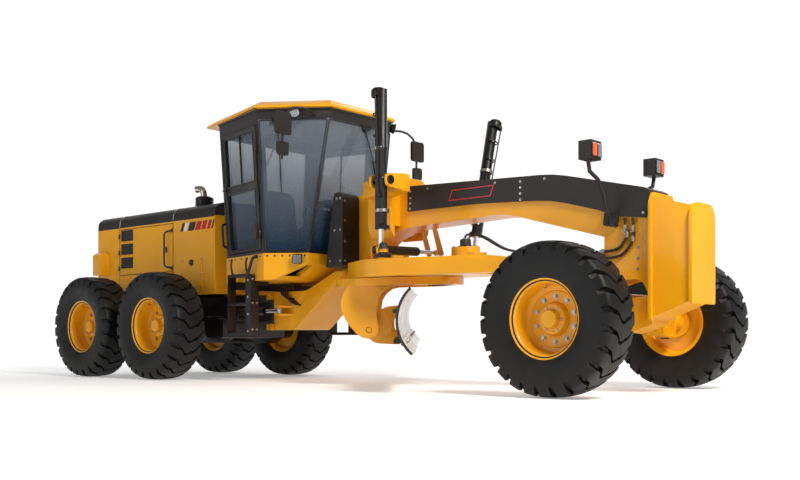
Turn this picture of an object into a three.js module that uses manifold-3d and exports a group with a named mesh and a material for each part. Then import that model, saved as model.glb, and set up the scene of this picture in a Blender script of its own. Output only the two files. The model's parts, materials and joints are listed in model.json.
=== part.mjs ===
// Articulated motor grader: rear engine frame on two oscillating tandems, hinged to a
// front frame that carries the cab, the drawbar with its circle and blade, and a
// steered, leaning front axle. Millimetres, +X forwards, +Y to the left, +Z up.
import * as THREE from "three";
import { mergeVertices } from "three/addons/utils/BufferGeometryUtils.js";
import Module from "manifold-3d";

const wasm = await Module();
wasm.setup();

// ---- Driving dimensions, with X counted from the middle of the tandems ----
const WHEELBASE = 6650;
const TANDEM_SPACING = 1538;
const REAR_HALF_TRACK = 1110;
const FRONT_HALF_TRACK = 1180;
const TYRE_RADIUS = 675;
const TYRE_HALF_WIDTH = 222;
const RIM_RADIUS = 355;
const BEAD_RADIUS = 316;
const RIM_HALF_WIDTH = 178;
const REAR_END = -1620;
const FRONT_END = 7460;
const HITCH_X = 1750;
const HOOD_HALF_WIDTH = 600;
const HOOD_TOP = 2250;
const BOOM_HALF_WIDTH = 170;
const CAB_SILL = 1500;
const CAB_EAVES = 3100;
const CIRCLE_OFFSET = 2330;
const CIRCLE_RADIUS = 720;
const BLADE_LENGTH = 4270;
const BLADE_HEIGHT = 630;
const BLADE_ANGLE = 37.5;
const DRAWBAR_SWING = 2.2;
const DRAWBAR_ROLL = 2.3;
const DRAWBAR_PIVOT = [6230, 0, 1220];
const LIFT_X = 4335;
const LIFT_TRUNNION_Y = 870;
const LIFT_TRUNNION_Z = 2150;
const GAP = 0.3;

// ---- Finishes ----
const paint = (color, roughness = 0.45, metalness = 0) => ({ color, roughness, metalness });
const YELLOW = paint(0xf0a62a);
const BLACK = paint(0x2c2a28, 0.55);
const RUBBER = paint(0x1a1a1b, 0.9);
const STEEL = paint(0x9a9a98, 0.35, 0.9);
const CHROME = paint(0xd8d8d6, 0.12, 1);
const SILVER = paint(0xc9c6c2, 0.4, 0.6);
const GLASS = paint(0x4d6272, 0.08);
const SEAT_CLOTH = paint(0x34343a, 0.95);

// ---- Solids ----
// Turns a closed three.js geometry into a manifold-3d solid whose faces point outwards.
function solid(geometry) {
  const bare = geometry.index ? geometry.toNonIndexed() : geometry;
  bare.deleteAttribute("normal");
  bare.deleteAttribute("uv");
  const merged = mergeVertices(bare, 1e-3);
  const triangles = new Uint32Array(merged.index.array);
  const build = () =>
    new wasm.Manifold(
      new wasm.Mesh({
        numProp: 3,
        vertProperties: merged.attributes.position.array,
        triVerts: triangles,
      }),
    );
  const made = build();
  if (made.volume() > 0) return made;
  for (let i = 0; i < triangles.length; i += 3) {
    [triangles[i + 1], triangles[i + 2]] = [triangles[i + 2], triangles[i + 1]];
  }
  return build();
}

const join = (...parts) => parts.flat(Infinity).reduce((whole, part) => whole.add(part));
const cut = (body, ...tools) => tools.flat(Infinity).reduce((whole, tool) => whole.subtract(tool), body);

// A closed outline from [u, v, rounding] points, each corner rounded by its own setback,
// which is never more than just under half of either edge beside it.
function outline(points) {
  const shape = new THREE.Shape();
  const corners = points.map(([u, v]) => new THREE.Vector2(u, v));
  points.forEach(([u, v, rounding = 0], i) => {
    const corner = corners[i];
    const before = corners[(i + corners.length - 1) % corners.length];
    const after = corners[(i + 1) % corners.length];
    const room = 0.48 * Math.min(corner.distanceTo(before), corner.distanceTo(after));
    const setback = Math.min(rounding, room);
    const towards = (other) => other.clone().sub(corner).setLength(setback).add(corner);
    const start = setback ? towards(before) : corner;
    if (i === 0) shape.moveTo(start.x, start.y);
    else shape.lineTo(start.x, start.y);
    if (setback) {
      const end = towards(after);
      shape.quadraticCurveTo(u, v, end.x, end.y);
    }
  });
  shape.closePath();
  return shape;
}

const ring = (radius, u = 0, v = 0, steps = 24) =>
  Array.from({ length: steps }, (_, i) => {
    const angle = ((i + 0.5) / steps) * 2 * Math.PI;
    return [u + radius * Math.cos(angle), v + radius * Math.sin(angle)];
  });

function extruded(points, depth) {
  return new THREE.ExtrudeGeometry(outline(points), {
    depth,
    bevelEnabled: false,
    curveSegments: 2,
  });
}

// Outlines drawn in plan (x, y), from the side (x, z) and from the front (y, z).
const plan = (points, z0, z1) => solid(extruded(points, z1 - z0).translate(0, 0, z0));
const side = (points, y0, y1) =>
  solid(extruded(points, y1 - y0).rotateX(Math.PI / 2).translate(0, y1, 0));
const front = (points, x0, x1) => {
  const turn = new THREE.Matrix4().makeBasis(
    new THREE.Vector3(0, 1, 0),
    new THREE.Vector3(0, 0, 1),
    new THREE.Vector3(1, 0, 0),
  );
  return solid(extruded(points, x1 - x0).applyMatrix4(turn).translate(x0, 0, 0));
};

const block = (x0, x1, y0, y1, z0, z1) =>
  solid(
    new THREE.BoxGeometry(x1 - x0, y1 - y0, z1 - z0).translate(
      (x0 + x1) / 2,
      (y0 + y1) / 2,
      (z0 + z1) / 2,
    ),
  );

// A round bar of the given radius from one point to another.
function bar(from, to, radius, steps = 12) {
  const start = new THREE.Vector3(...from);
  const run = new THREE.Vector3(...to).sub(start);
  const geometry = new THREE.CylinderGeometry(radius, radius, run.length(), steps);
  geometry.translate(0, run.length() / 2, 0);
  const turn = new THREE.Quaternion().setFromUnitVectors(
    new THREE.Vector3(0, 1, 0),
    run.clone().normalize(),
  );
  return solid(geometry.applyQuaternion(turn).translate(...from));
}

const ball = (centre, radius) =>
  solid(new THREE.SphereGeometry(radius, 12, 8).translate(...centre));

// A solid turned about the Y axis from [radius, y] points that close on themselves or the axis.
const turned = (profile, steps = 32) =>
  solid(
    new THREE.LatheGeometry(
      profile.map(([radius, y]) => new THREE.Vector2(radius, y)),
      steps,
      Math.PI / steps,
    ),
  );

// A round tube bent along a smooth curve through the points.
function pipe(points, radius, steps = 24) {
  const path = new THREE.CatmullRomCurve3(points.map((p) => new THREE.Vector3(...p)));
  const section = outline(ring(radius, 0, 0, 8));
  return solid(new THREE.ExtrudeGeometry(section, { steps, extrudePath: path }));
}

// A solid between two outlines in plan with the same number of points.
function loft(lower, z0, upper, z1) {
  const count = lower.length;
  const positions = [...lower.map(([x, y]) => [x, y, z0]), ...upper.map(([x, y]) => [x, y, z1])];
  const caps = THREE.ShapeUtils.triangulateShape(
    lower.map(([x, y]) => new THREE.Vector2(x, y)),
    [],
  );
  const faces = [];
  for (const [a, b, c] of caps) {
    faces.push([a, c, b], [a + count, b + count, c + count]);
  }
  for (let i = 0; i < count; i += 1) {
    const next = (i + 1) % count;
    faces.push([i, next, next + count], [i, next + count, i + count]);
  }
  const geometry = new THREE.BufferGeometry();
  geometry.setAttribute("position", new THREE.Float32BufferAttribute(positions.flat(), 3));
  geometry.setIndex(faces.flat());
  return solid(geometry);
}

const mirrored = (points) => [...points, ...points.map(([u, v, r]) => [u, -v, r]).reverse()];
const flipY = (body) => body.mirror([0, 1, 0]);
const bothSides = (make) => [make(1), make(-1)];

// ---- Scene graph ----
const grader = new THREE.Group();
grader.position.x = -(FRONT_END + REAR_END) / 2;

function group(parent, position = [0, 0, 0], rotation = [0, 0, 0]) {
  const made = new THREE.Group();
  made.position.set(...position);
  made.rotation.set(...rotation.map(THREE.MathUtils.degToRad));
  parent.add(made);
  return made;
}

function piece(parent, name, body, finish) {
  const { vertProperties, triVerts } = body.getMesh();
  const geometry = new THREE.BufferGeometry();
  geometry.setAttribute("position", new THREE.BufferAttribute(vertProperties, 3));
  geometry.setIndex(new THREE.BufferAttribute(triVerts, 1));
  const mesh = new THREE.Mesh(geometry, new THREE.MeshStandardMaterial(finish));
  mesh.name = name;
  parent.add(mesh);
  return mesh;
}

const sideName = (s) => (s > 0 ? "left" : "right");

// ---- Wheels: the axis is Y and the outside of the wheel faces +Y ----
const WHEEL_STEPS = 20;
const CORNER = 1 / Math.cos(Math.PI / WHEEL_STEPS);

function tyre() {
  const outer = [
    [BEAD_RADIUS + GAP, -RIM_HALF_WIDTH + 29],
    [RIM_RADIUS + 1, -RIM_HALF_WIDTH + 16],
    [RIM_RADIUS + 9, -RIM_HALF_WIDTH - 6],
    [430, -TYRE_HALF_WIDTH + 8],
    [560, -TYRE_HALF_WIDTH],
    [TYRE_RADIUS * CORNER, -TYRE_HALF_WIDTH + 50],
  ];
  const inner = [
    [BEAD_RADIUS + GAP, RIM_HALF_WIDTH - 64],
    [420, TYRE_HALF_WIDTH - 36],
    [590, TYRE_HALF_WIDTH - 60],
    [590, -TYRE_HALF_WIDTH + 60],
    [420, -TYRE_HALF_WIDTH + 36],
    [BEAD_RADIUS + GAP, -RIM_HALF_WIDTH + 64],
  ];
  const other = outer.map(([radius, y]) => [radius, -y]).reverse();
  return turned([...outer, ...other, ...inner, outer[0]], WHEEL_STEPS);
}

function rim(discY) {
  const edge = RIM_HALF_WIDTH;
  const barrel = BEAD_RADIUS;
  return turned(
    [
      [0, discY],
      [barrel - 16, discY],
      [barrel - 16, -edge + 28],
      [RIM_RADIUS, -edge],
      [RIM_RADIUS, -edge + 15],
      [barrel, -edge + 28],
      [barrel, edge - 28],
      [RIM_RADIUS, edge - 15],
      [RIM_RADIUS, edge],
      [barrel - 16, edge - 28],
      [barrel - 16, discY + 22],
      [150, discY + 22],
      [140, discY + 70],
      [0, discY + 70],
    ],
    WHEEL_STEPS,
  );
}

function wheel(parent, label, position, outside, discY) {
  const hub = group(parent, position, [0, 0, outside > 0 ? 0 : 180]);
  piece(hub, `tyre_${label}`, tyre(), RUBBER);
  piece(hub, `rim_${label}`, rim(discY), YELLOW);
}

// ---- Tandems ----
const CASE_INNER = 650;
const CASE_OUTER = 860;
const REAR_DISC = -70;
const FRONT_DISC = -40;

function tandemCase() {
  const half = TANDEM_SPACING / 2;
  const body = side(
    [
      [-half - 215, -110, 90],
      [-half + 60, -225, 60],
      [half - 60, -225, 60],
      [half + 215, -110, 90],
      [half + 215, 120, 90],
      [half - 60, 225, 60],
      [-half + 60, 225, 60],
      [-half - 215, 120, 90],
    ],
    CASE_INNER,
    CASE_OUTER,
  );
  const spindles = [-half, half].map((x) =>
    bar([x, CASE_OUTER - 20, 0], [x, REAR_HALF_TRACK + REAR_DISC - 2, 0], 150, 20),
  );
  const bearing = bar([0, CASE_INNER - 10, 0], [0, CASE_INNER + 75, 0], 122, 20);
  return cut(join(body, spindles), bearing);
}

function tandems(parent) {
  for (const s of [1, -1]) {
    const arm = group(parent, [0, 0, TYRE_RADIUS]);
    const shape = tandemCase();
    piece(arm, `tandem_case_${sideName(s)}`, s > 0 ? shape : flipY(shape), BLACK);
    for (const [place, x] of [["front", TANDEM_SPACING / 2], ["rear", -TANDEM_SPACING / 2]]) {
      wheel(arm, `${sideName(s)}_tandem_${place}`, [x, s * REAR_HALF_TRACK, 0], s, REAR_DISC);
    }
  }
}

// ---- Rear frame, engine and hood ----
const RAIL_TOP = 1060;
const RAIL_FOOT = 800;
const NOSE_TOP = 975;
const NOSE_FOOT = 725;
const ARTIC_Z = 850;
const ARTIC_REAR = [1385, 400];
const ARTIC_FRONT = [2250, 420];

function rearFrame() {
  const rails = bothSides((s) =>
    block(REAR_END + 150, 1300, Math.min(s * 230, s * 330), Math.max(s * 230, s * 330), RAIL_FOOT, RAIL_TOP),
  );
  const crossPlates = [-1250, -330, 330].map((x) => block(x - 60, x + 60, -240, 240, 830, 1030));
  const frontPlate = block(1120, 1330, -330, 330, 740, RAIL_TOP);
  const nose = cut(
    join(
      block(1300, HITCH_X, -140, 140, NOSE_FOOT, NOSE_TOP),
      bar([HITCH_X, 0, NOSE_FOOT], [HITCH_X, 0, NOSE_TOP], 140, 20),
    ),
    bar([HITCH_X, 0, NOSE_FOOT - 10], [HITCH_X, 0, NOSE_TOP + 10], 58, 20),
  );
  const axle = [
    bar([0, -560, TYRE_RADIUS], [0, 560, TYRE_RADIUS], 120, 24),
    ball([0, 0, TYRE_RADIUS], 235),
    bothSides((s) => block(-130, 130, Math.min(s * 230, s * 330), Math.max(s * 230, s * 330), 660, 820)),
    bothSides((s) => bar([0, s * 540, TYRE_RADIUS], [0, s * (CASE_INNER - 8), TYRE_RADIUS], 190, 20)),
    bothSides((s) => bar([0, s * 600, TYRE_RADIUS], [0, s * (CASE_INNER + 65), TYRE_RADIUS], 112, 20)),
  ].flat();
  const bumper = front(
    [
      [-560, 790, 60],
      [560, 790, 60],
      [560, 1065, 40],
      [-560, 1065, 40],
    ],
    REAR_END,
    REAR_END + 170,
  );
  const anchors = bothSides((s) => {
    const y = s * ARTIC_REAR[1];
    const plates = [ARTIC_Z - 52, ARTIC_Z + 30].map((z) =>
      join(bar([ARTIC_REAR[0], y, z], [ARTIC_REAR[0], y, z + 22], 46), block(1300, ARTIC_REAR[0], Math.min(y - s * 100, y + s * 46), Math.max(y - s * 100, y + s * 46), z, z + 22)),
    );
    return join(plates, bar([ARTIC_REAR[0], y, ARTIC_Z - 40], [ARTIC_REAR[0], y, ARTIC_Z + 40], 20));
  });
  return join(rails, crossPlates, frontPlate, nose, axle, bumper, anchors, radiatorGuard(), sideTank());
}

const HOOD_REAR = -1480;
const HOOD_FRONT = 1330;
const BAND_FOOT = 2080;
const HOOD_WALL = 32;
const DOOR_REAR = -920;
const DOOR_FRONT = 340;
const DOOR_FOOT = 1400;
const DOOR_TOP = 2045;
const hoodPlan = (inset) =>
  mirrored([
    [HOOD_REAR + inset, -HOOD_HALF_WIDTH + inset],
    [1225 - inset * 0.6, -HOOD_HALF_WIDTH + inset],
    [HOOD_FRONT - inset, -340 + inset * 0.4],
  ]);

function hood() {
  const skirt = [
    [HOOD_REAR, 1080],
    [-1250, 1080, 60],
    [-1000, 1160, 80],
    [-460, 1160, 80],
    [-210, 1080, 60],
    [HOOD_FRONT, 1080],
    [HOOD_FRONT, BAND_FOOT],
    [HOOD_REAR, BAND_FOOT],
  ];
  const outside = side(skirt, -HOOD_HALF_WIDTH, HOOD_HALF_WIDTH).intersect(plan(hoodPlan(0), 1000, 2200));
  const inside = plan(hoodPlan(HOOD_WALL), 1000, 2200);
  const doorways = block(DOOR_REAR, DOOR_FRONT, -700, 700, DOOR_FOOT, DOOR_TOP);
  const rearOpening = block(HOOD_REAR - 50, HOOD_REAR + 60, -500, 500, 1000, 2020);
  const lampBoxes = bothSides((s) =>
    front(
      [
        [s * (HOOD_HALF_WIDTH - 10), 1410],
        [s * 745, 1410],
        [s * 745, 1700],
        [s * (HOOD_HALF_WIDTH + 70), 1745],
        [s * (HOOD_HALF_WIDTH - 10), 1700],
      ],
      HOOD_REAR + 95,
      HOOD_REAR + 290,
    ),
  );
  return join(cut(outside, inside, doorways, rearOpening), lampBoxes);
}

function hoodTop() {
  const crown = (inset) => [
    [-HOOD_HALF_WIDTH + inset, BAND_FOOT + GAP - inset],
    [HOOD_HALF_WIDTH - inset, BAND_FOOT + GAP - inset],
    [HOOD_HALF_WIDTH - 8 - inset, BAND_FOOT + 95, 30],
    [HOOD_HALF_WIDTH - 85 - inset * 0.5, HOOD_TOP - inset, 50],
    [-HOOD_HALF_WIDTH + 85 + inset * 0.5, HOOD_TOP - inset, 50],
    [-HOOD_HALF_WIDTH + 8 + inset, BAND_FOOT + 95, 30],
  ];
  const shell = cut(
    front(crown(0), HOOD_REAR, HOOD_FRONT),
    front(crown(30), HOOD_REAR + 30, HOOD_FRONT - 90),
  );
  return shell.intersect(plan(hoodPlan(0), 2000, 2300));
}

function hoodDoor() {
  return block(DOOR_REAR + 5, DOOR_FRONT - 5, HOOD_HALF_WIDTH - HOOD_WALL, HOOD_HALF_WIDTH, DOOR_FOOT + 5, DOOR_TOP - 5);
}

function radiatorGuard() {
  const plate = block(HOOD_REAR + 2, HOOD_REAR + 34, -496, 496, 1050, 2016);
  const slots = Array.from({ length: 5 }, (_, i) =>
    block(HOOD_REAR - 20, HOOD_REAR + 60, -430, 430, 1250 + i * 146, 1330 + i * 146),
  );
  return cut(plate, slots);
}

function sideTank() {
  return side(
    [
      [930, 520, 60],
      [1290, 520, 40],
      [1290, 760],
      [930, 760],
    ],
    -520,
    520,
  );
}

function rearMachine(parent) {
  piece(parent, "rear_frame", rearFrame(), BLACK);
  piece(parent, "engine_block", block(-900, 250, -340, 340, RAIL_TOP + GAP, 1850), STEEL);
  piece(parent, "hood", hood(), YELLOW);
  piece(parent, "hood_top", hoodTop(), BLACK);
  for (const s of [1, -1]) {
    piece(parent, `hood_door_${sideName(s)}`, s > 0 ? hoodDoor() : flipY(hoodDoor()), YELLOW);
  }
  const tailPipe = pipe(
    [[650, -330, 2380], [650, -330, 2420], [635, -330, 2470], [580, -330, 2500], [510, -330, 2506]],
    50,
    6,
  );
  const canister = turned([[0, 0], [120, 0], [120, 118], [96, 138], [0, 138]], 16)
    .rotate([90, 0, 0])
    .translate([660, -330, HOOD_TOP + GAP]);
  const exhaust = join(tailPipe, canister);
  piece(parent, "exhaust_pipe", exhaust, CHROME);
}

// ---- Front frame, boom and front block ----
const POST_REAR = 6550;
const POST_FRONT = 7040;
const AXLE_Z = 640;
const SHIFT_X = 4130;
const SHIFT_EYE_Y = 280;
const SHIFT_EYE_Z = 1490;

function frontFrame() {
  const boomSide = [
    [1930, 620],
    [2380, 620, 40],
    [3110, 1180, 60],
    [3740, 1660, 80],
    [4100, 1740, 80],
    [5400, 1785, 120],
    [POST_REAR, 1468],
    [POST_REAR, 1150],
    [6500, 900],
    [6470, 900],
    [6470, 700],
    [6540, 700],
    [6560, 1000, 60],
    [6770, 1060, 70],
    [6940, 1055, 60],
    [7012, 900],
    [6800, 880],
    [6800, 560],
    [POST_FRONT, 640],
    [POST_FRONT, 1830],
    [7000, 1850, 60],
    [6000, 2090, 150],
    [4100, 2160],
    [3520, 2170, 60],
    [3125, 2150, 40],
    [3125, 1330, 40],
    [2960, 1240, 40],
    [2600, 1085, 60],
    [1930, 1085],
  ];
  const backbone = side(boomSide, -BOOM_HALF_WIDTH, BOOM_HALF_WIDTH);
  const gooseFoot = side(
    [
      [1930, 620],
      [2380, 620, 40],
      [3110, 1180, 60],
      [3250, 1290],
      [3090, 1295],
      [2960, 1240, 40],
      [2600, 1085, 60],
      [1930, 1085],
    ],
    -300,
    300,
  ).intersect(plan(mirrored([[1900, -215], [2100, -300], [3300, -300]]), 500, 1400));
  const lug = (z0, z1) =>
    join(
      plan(
        mirrored([
          [HITCH_X, -150],
          [1960, -295],
        ]),
        z0,
        z1,
      ),
      bar([HITCH_X, 0, z0], [HITCH_X, 0, z1], 150, 20),
    );
  const hitchPin = bar([HITCH_X, 0, 640], [HITCH_X, 0, 1060], 50, 20);
  const socketEars = [
    plan([...mirrored([[POST_REAR + 40, -80], [6230, -45]])], 1262, 1292),
    plan([...mirrored([[POST_REAR + 40, -80], [6230, -45]])], 1148, 1178),
    bar([6230, 0, 1148], [6230, 0, 1178], 45),
    bar([6230, 0, 1262], [6230, 0, 1292], 45),
  ];
  const axlePin = bar([6480, 0, AXLE_Z + 140], [6830, 0, AXLE_Z + 140], 34, 20);
  const socketHole = bar([6230, 0, 1100], [6230, 0, 1340], 27);
  const shiftStrut = [[SHIFT_X - 108, 14], [SHIFT_X + 64, 20]].map(([x, thick]) =>
    front(
      [
        [110, 1800],
        [SHIFT_EYE_Y - 50, SHIFT_EYE_Z - 20, 20],
        [SHIFT_EYE_Y - 20, SHIFT_EYE_Z - 45, 20],
        [SHIFT_EYE_Y + 45, SHIFT_EYE_Z - 30, 30],
        [169, 1800],
      ],
      x,
      x + thick,
    ),
  );
  const articLugs = bothSides((s) =>
    [ARTIC_Z - 60, ARTIC_Z + 38].map((z) =>
      plan(
        [
          [2150, s * 290],
          [ARTIC_FRONT[0] - 50, s * (ARTIC_FRONT[1] + 40), 20],
          [ARTIC_FRONT[0] + 50, s * (ARTIC_FRONT[1] + 40), 20],
          [2380, s * 290],
        ],
        z,
        z + 22,
      ),
    ),
  ).flat();
  const solids = [backbone, gooseFoot, lug(620, 695), lug(1005, 1085), hitchPin, socketEars, axlePin];
  return cut(join(solids, shiftStrut, articLugs, frontBlock()), socketHole);
}

// Black cover over the upper half of the boom, open below where the boom passes through.
function boomCover() {
  const y = BOOM_HALF_WIDTH + GAP;
  const outer = side(
    [
      [4110, 1915],
      [5100, 1915, 120],
      [5960, 1870, 150],
      [6480, 1730],
      [6700, 1650],
      [7030, 1612],
      [7030, 1880, 60],
      [6000, 2122, 150],
      [4110, 2192],
    ],
    -y - 26,
    y + 26,
  );
  const channel = side(
    [
      [4000, 1500],
      [7200, 1500],
      [7200, 1802],
      [7000, 1850.5, 60],
      [6000, 2090.5, 150],
      [4000, 2164],
    ],
    -y,
    y,
  );
  const lamps = bothSides((s) =>
    join(
      side(
        [
          [6560, 1570, 20],
          [6700, 1545, 20],
          [6715, 1670, 20],
          [6575, 1700, 20],
        ],
        s > 0 ? y + 8 : -y - 44,
        s > 0 ? y + 44 : -y - 8,
      ),
      pipe(
        [
          [6640, s * (y + 30), 1620],
          [6645, s * 275, 1650],
          [6650, s * 320, 1760],
          [6650, s * 380, 1890],
          [6650, s * 500, 1990],
          [6650, s * 620, 2030],
          [6650, s * 652, 2070],
          [6650, s * 640, 2150],
        ],
        20,
        5,
      ),
      block(6590, 6720, s > 0 ? 520 : -700, s > 0 ? 700 : -520, 2120, 2290),
    ),
  );
  return join(cut(outer, channel), lamps);
}

function frontBlock() {
  const rear = POST_FRONT - 2;
  const web = side(
    [
      [rear, 690],
      [FRONT_END - 20, 850],
      [FRONT_END - 20, 1690],
      [rear, 1800],
    ],
    -215,
    215,
  );
  const flange = front(
    [
      [-245, 680],
      [245, 680],
      [245, 1760, 60],
      [180, 1840],
      [-180, 1840],
      [-245, 1760, 60],
    ],
    rear,
    rear + 30,
  );
  const plate = front(
    [
      [-242, 820, 20],
      [242, 820, 20],
      [242, 1640, 60],
      [170, 1720, 40],
      [-170, 1720, 40],
      [-242, 1640, 60],
    ],
    FRONT_END - 32,
    FRONT_END,
  );
  return join(web, flange, plate);
}

// Lift yoke clamped round the boom, with a forked arm out to each lift cylinder.
const FORK_GAP = 95;
function saddle() {
  const hoop = cut(
    front(
      [
        [-330, 1700, 80],
        [-210, 1590, 60],
        [210, 1590, 60],
        [330, 1700, 80],
        [330, 2190, 80],
        [230, 2320, 60],
        [-230, 2320, 60],
        [-330, 2190, 80],
      ],
      3640,
      3980,
    ),
    block(3600, 4020, -BOOM_HALF_WIDTH - GAP, BOOM_HALF_WIDTH + GAP, 1500, 2172.5),
    block(3600, 4020, -260, 260, 1500, 1762),
  );
  const arms = bothSides((s) => {
    const arm = plan(
      [
        [3720, s * 300],
        [3960, s * 300],
        [LIFT_X + 125, s * 560],
        [LIFT_X + 125, s * 690],
        [LIFT_X - 130, s * 690],
        [3700, s * 480],
      ],
      2060,
      2240,
    );
    const plates = [LIFT_X - FORK_GAP - 30, LIFT_X + FORK_GAP].map((x) =>
      front(
        [
          [s * 640, 2060, 20],
          [s * 925, 2085, 50],
          [s * 925, 2215, 50],
          [s * 640, 2240, 20],
        ],
        x,
        x + 30,
      ),
    );
    const eye = bar(
      [LIFT_X - 200, s * LIFT_TRUNNION_Y, LIFT_TRUNNION_Z],
      [LIFT_X + 200, s * LIFT_TRUNNION_Y, LIFT_TRUNNION_Z],
      32,
    );
    return cut(join(arm, plates), eye);
  });
  return join(hoop, arms);
}

// ---- Cab ----
const CAB_PLAN = [[1560, -680], [2520, -905], [2950, -600], [2950, 600], [2520, 905], [1560, 680]];
const CAB_FLARE = [102, 86, 265, 86, 102, 35];

// The cab's outline at a height, moved inwards by an inset. Each wall leans out by its own flare.
function cabRing(z, inset = 0) {
  const t = (z - CAB_SILL) / (CAB_EAVES - CAB_SILL);
  const walls = CAB_PLAN.map(([x, y], i) => {
    const [nextX, nextY] = CAB_PLAN[(i + 1) % CAB_PLAN.length];
    const run = new THREE.Vector2(nextX - x, nextY - y).normalize();
    const outwards = new THREE.Vector2(run.y, -run.x);
    return { point: new THREE.Vector2(x, y).addScaledVector(outwards, t * CAB_FLARE[i] - inset), run };
  });
  return walls.map((wall, i) => {
    const previous = walls[(i + walls.length - 1) % walls.length];
    const gap = wall.point.clone().sub(previous.point);
    const along = gap.cross(wall.run) / previous.run.cross(wall.run);
    return previous.point.clone().addScaledVector(previous.run, along).toArray();
  });
}

const cabShell = (z0, z1, inset) => loft(cabRing(z0, inset), z0, cabRing(z1, inset), z1);

// A flat panel on one face of the cab, from its start and end corners and between two
// heights; outer and inner are the distances of its faces inside the cab's outline.
function cabPanel(face, fromStart, fromEnd, z0, z1, outer, inner) {
  const section = (z) => {
    const at = cabRing(z);
    const p = new THREE.Vector2(...at[face]);
    const q = new THREE.Vector2(...at[(face + 1) % at.length]);
    const run = q.clone().sub(p).normalize();
    const inwards = new THREE.Vector2(-run.y, run.x);
    const corner = (from, shift, depth) =>
      from.clone().addScaledVector(run, shift).addScaledVector(inwards, depth).toArray();
    return [
      corner(p, fromStart, outer),
      corner(q, -fromEnd, outer),
      corner(q, -fromEnd, inner),
      corner(p, fromStart, inner),
    ];
  };
  return loft(section(z0), z0, section(z1), z1);
}

const CAB_FLOOR = 1240;
const CAB_BASE_FOOT = 1190;
const HEADER_FOOT = 2985;
const DOOR_FACE_RIGHT = 0;
const DOOR_FACE_LEFT = 4;

function cabBase() {
  const outer = cabRing(CAB_SILL, 0);
  const inner = cabRing(CAB_SILL, 40);
  const tub = cut(
    loft(outer, CAB_BASE_FOOT, outer, CAB_SILL - GAP),
    loft(inner, CAB_FLOOR, inner, CAB_SILL + 50),
  );
  const undercut = side(
    [
      [2600, CAB_BASE_FOOT - 60],
      [3100, CAB_BASE_FOOT - 60],
      [3100, 1440],
      [2960, 1385],
      [2600, CAB_BASE_FOOT],
    ],
    -1200,
    1200,
  );
  const slope = side(
    [
      [2560, CAB_BASE_FOOT + 1],
      [2600, CAB_BASE_FOOT + 1],
      [2960, 1386],
      [2960, 1426],
      [2560, CAB_FLOOR + 1],
    ],
    -500,
    500,
  );
  const clipped = slope.intersect(loft(outer, 1100, outer, 1500));
  return join(cut(tub, undercut), clipped);
}

function cabFrame() {
  const shell = cut(cabShell(CAB_SILL, CAB_EAVES + 25, 8), cabShell(CAB_SILL - 50, CAB_EAVES + 90, 58));
  const openings = [
    cabPanel(DOOR_FACE_RIGHT, 60, 55, CAB_SILL + 35, HEADER_FOOT, -60, 120),
    cabPanel(DOOR_FACE_LEFT, 55, 60, CAB_SILL + 35, HEADER_FOOT, -60, 120),
    cabPanel(1, 70, 40, CAB_SILL + 35, HEADER_FOOT + 30, -60, 120),
    cabPanel(3, 40, 70, CAB_SILL + 35, HEADER_FOOT + 30, -60, 120),
    cabPanel(2, 50, 50, CAB_SILL + 35, HEADER_FOOT + 30, -60, 120),
    cabPanel(5, 90, 90, CAB_SILL + 35, HEADER_FOOT, -60, 120),
  ];
  const mirrors = bothSides((s) => {
    const arm = pipe(
      [[3060, s * 600, 3060], [3110, s * 740, 3092], [3120, s * 950, 3082], [3115, s * 1100, 2980], [3100, s * 1135, 2700], [3100, s * 1140, 2490]],
      14,
      9,
    );
    const head = front(
      [
        [s * 1025, 2760, 30],
        [s * 1250, 2760, 30],
        [s * 1250, 3010, 30],
        [s * 1025, 3010, 30],
      ],
      3095,
      3130,
    );
    const lower = front(
      [
        [s * 1060, 2530, 30],
        [s * 1220, 2530, 30],
        [s * 1220, 2680, 30],
        [s * 1060, 2680, 30],
      ],
      3092,
      3125,
    );
    const stub = bar([3010, s * 560, 3060], [3065, s * 605, 3060], 20, 10);
    return join(arm, head, lower, stub);
  });
  return join(cut(shell, openings), mirrors);
}

function cabDoor(face) {
  const [start, end] = face === DOOR_FACE_RIGHT ? [66, 61] : [61, 66];
  const panel = cabPanel(face, start, end, CAB_SILL + 41, HEADER_FOOT - 6, 0, 40);
  const windows = [
    cabPanel(face, start + 75, end + 75, CAB_SILL + 80, 2260, -60, 120),
    cabPanel(face, start + 75, end + 75, 2350, HEADER_FOOT - 55, -60, 120),
  ];
  return cut(panel, windows);
}

const doorGlass = (face) =>
  cabPanel(face, 120, 120, CAB_SILL + 60, HEADER_FOOT - 35, 41, 46);

function frontGlass() {
  const wrap = cut(cabShell(CAB_SILL + 22, HEADER_FOOT + 45, 1), cabShell(CAB_SILL, CAB_EAVES, 7));
  const keep = join(
    cabPanel(1, 14, -40, CAB_SILL + 10, CAB_EAVES, -80, 60),
    cabPanel(2, -60, -60, CAB_SILL + 10, CAB_EAVES, -80, 60),
    cabPanel(3, -40, 14, CAB_SILL + 10, CAB_EAVES, -80, 60),
  );
  return wrap.intersect(keep);
}

function cabRoof() {
  const eaves = [[1210, -715], [2545, -1065], [3262, -545], [3262, 545], [2545, 1065], [1210, 715]];
  const crown = eaves.map(([x, y]) => [2300 + (x - 2300) * 0.93, y * 0.9]);
  const header = cabRing(CAB_EAVES + 25, -8);
  return join(
    loft(header, CAB_EAVES + 25 + GAP, header, 3152),
    loft(eaves, 3151, eaves, 3178),
    loft(eaves, 3178, crown, 3240),
  );
}

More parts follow.
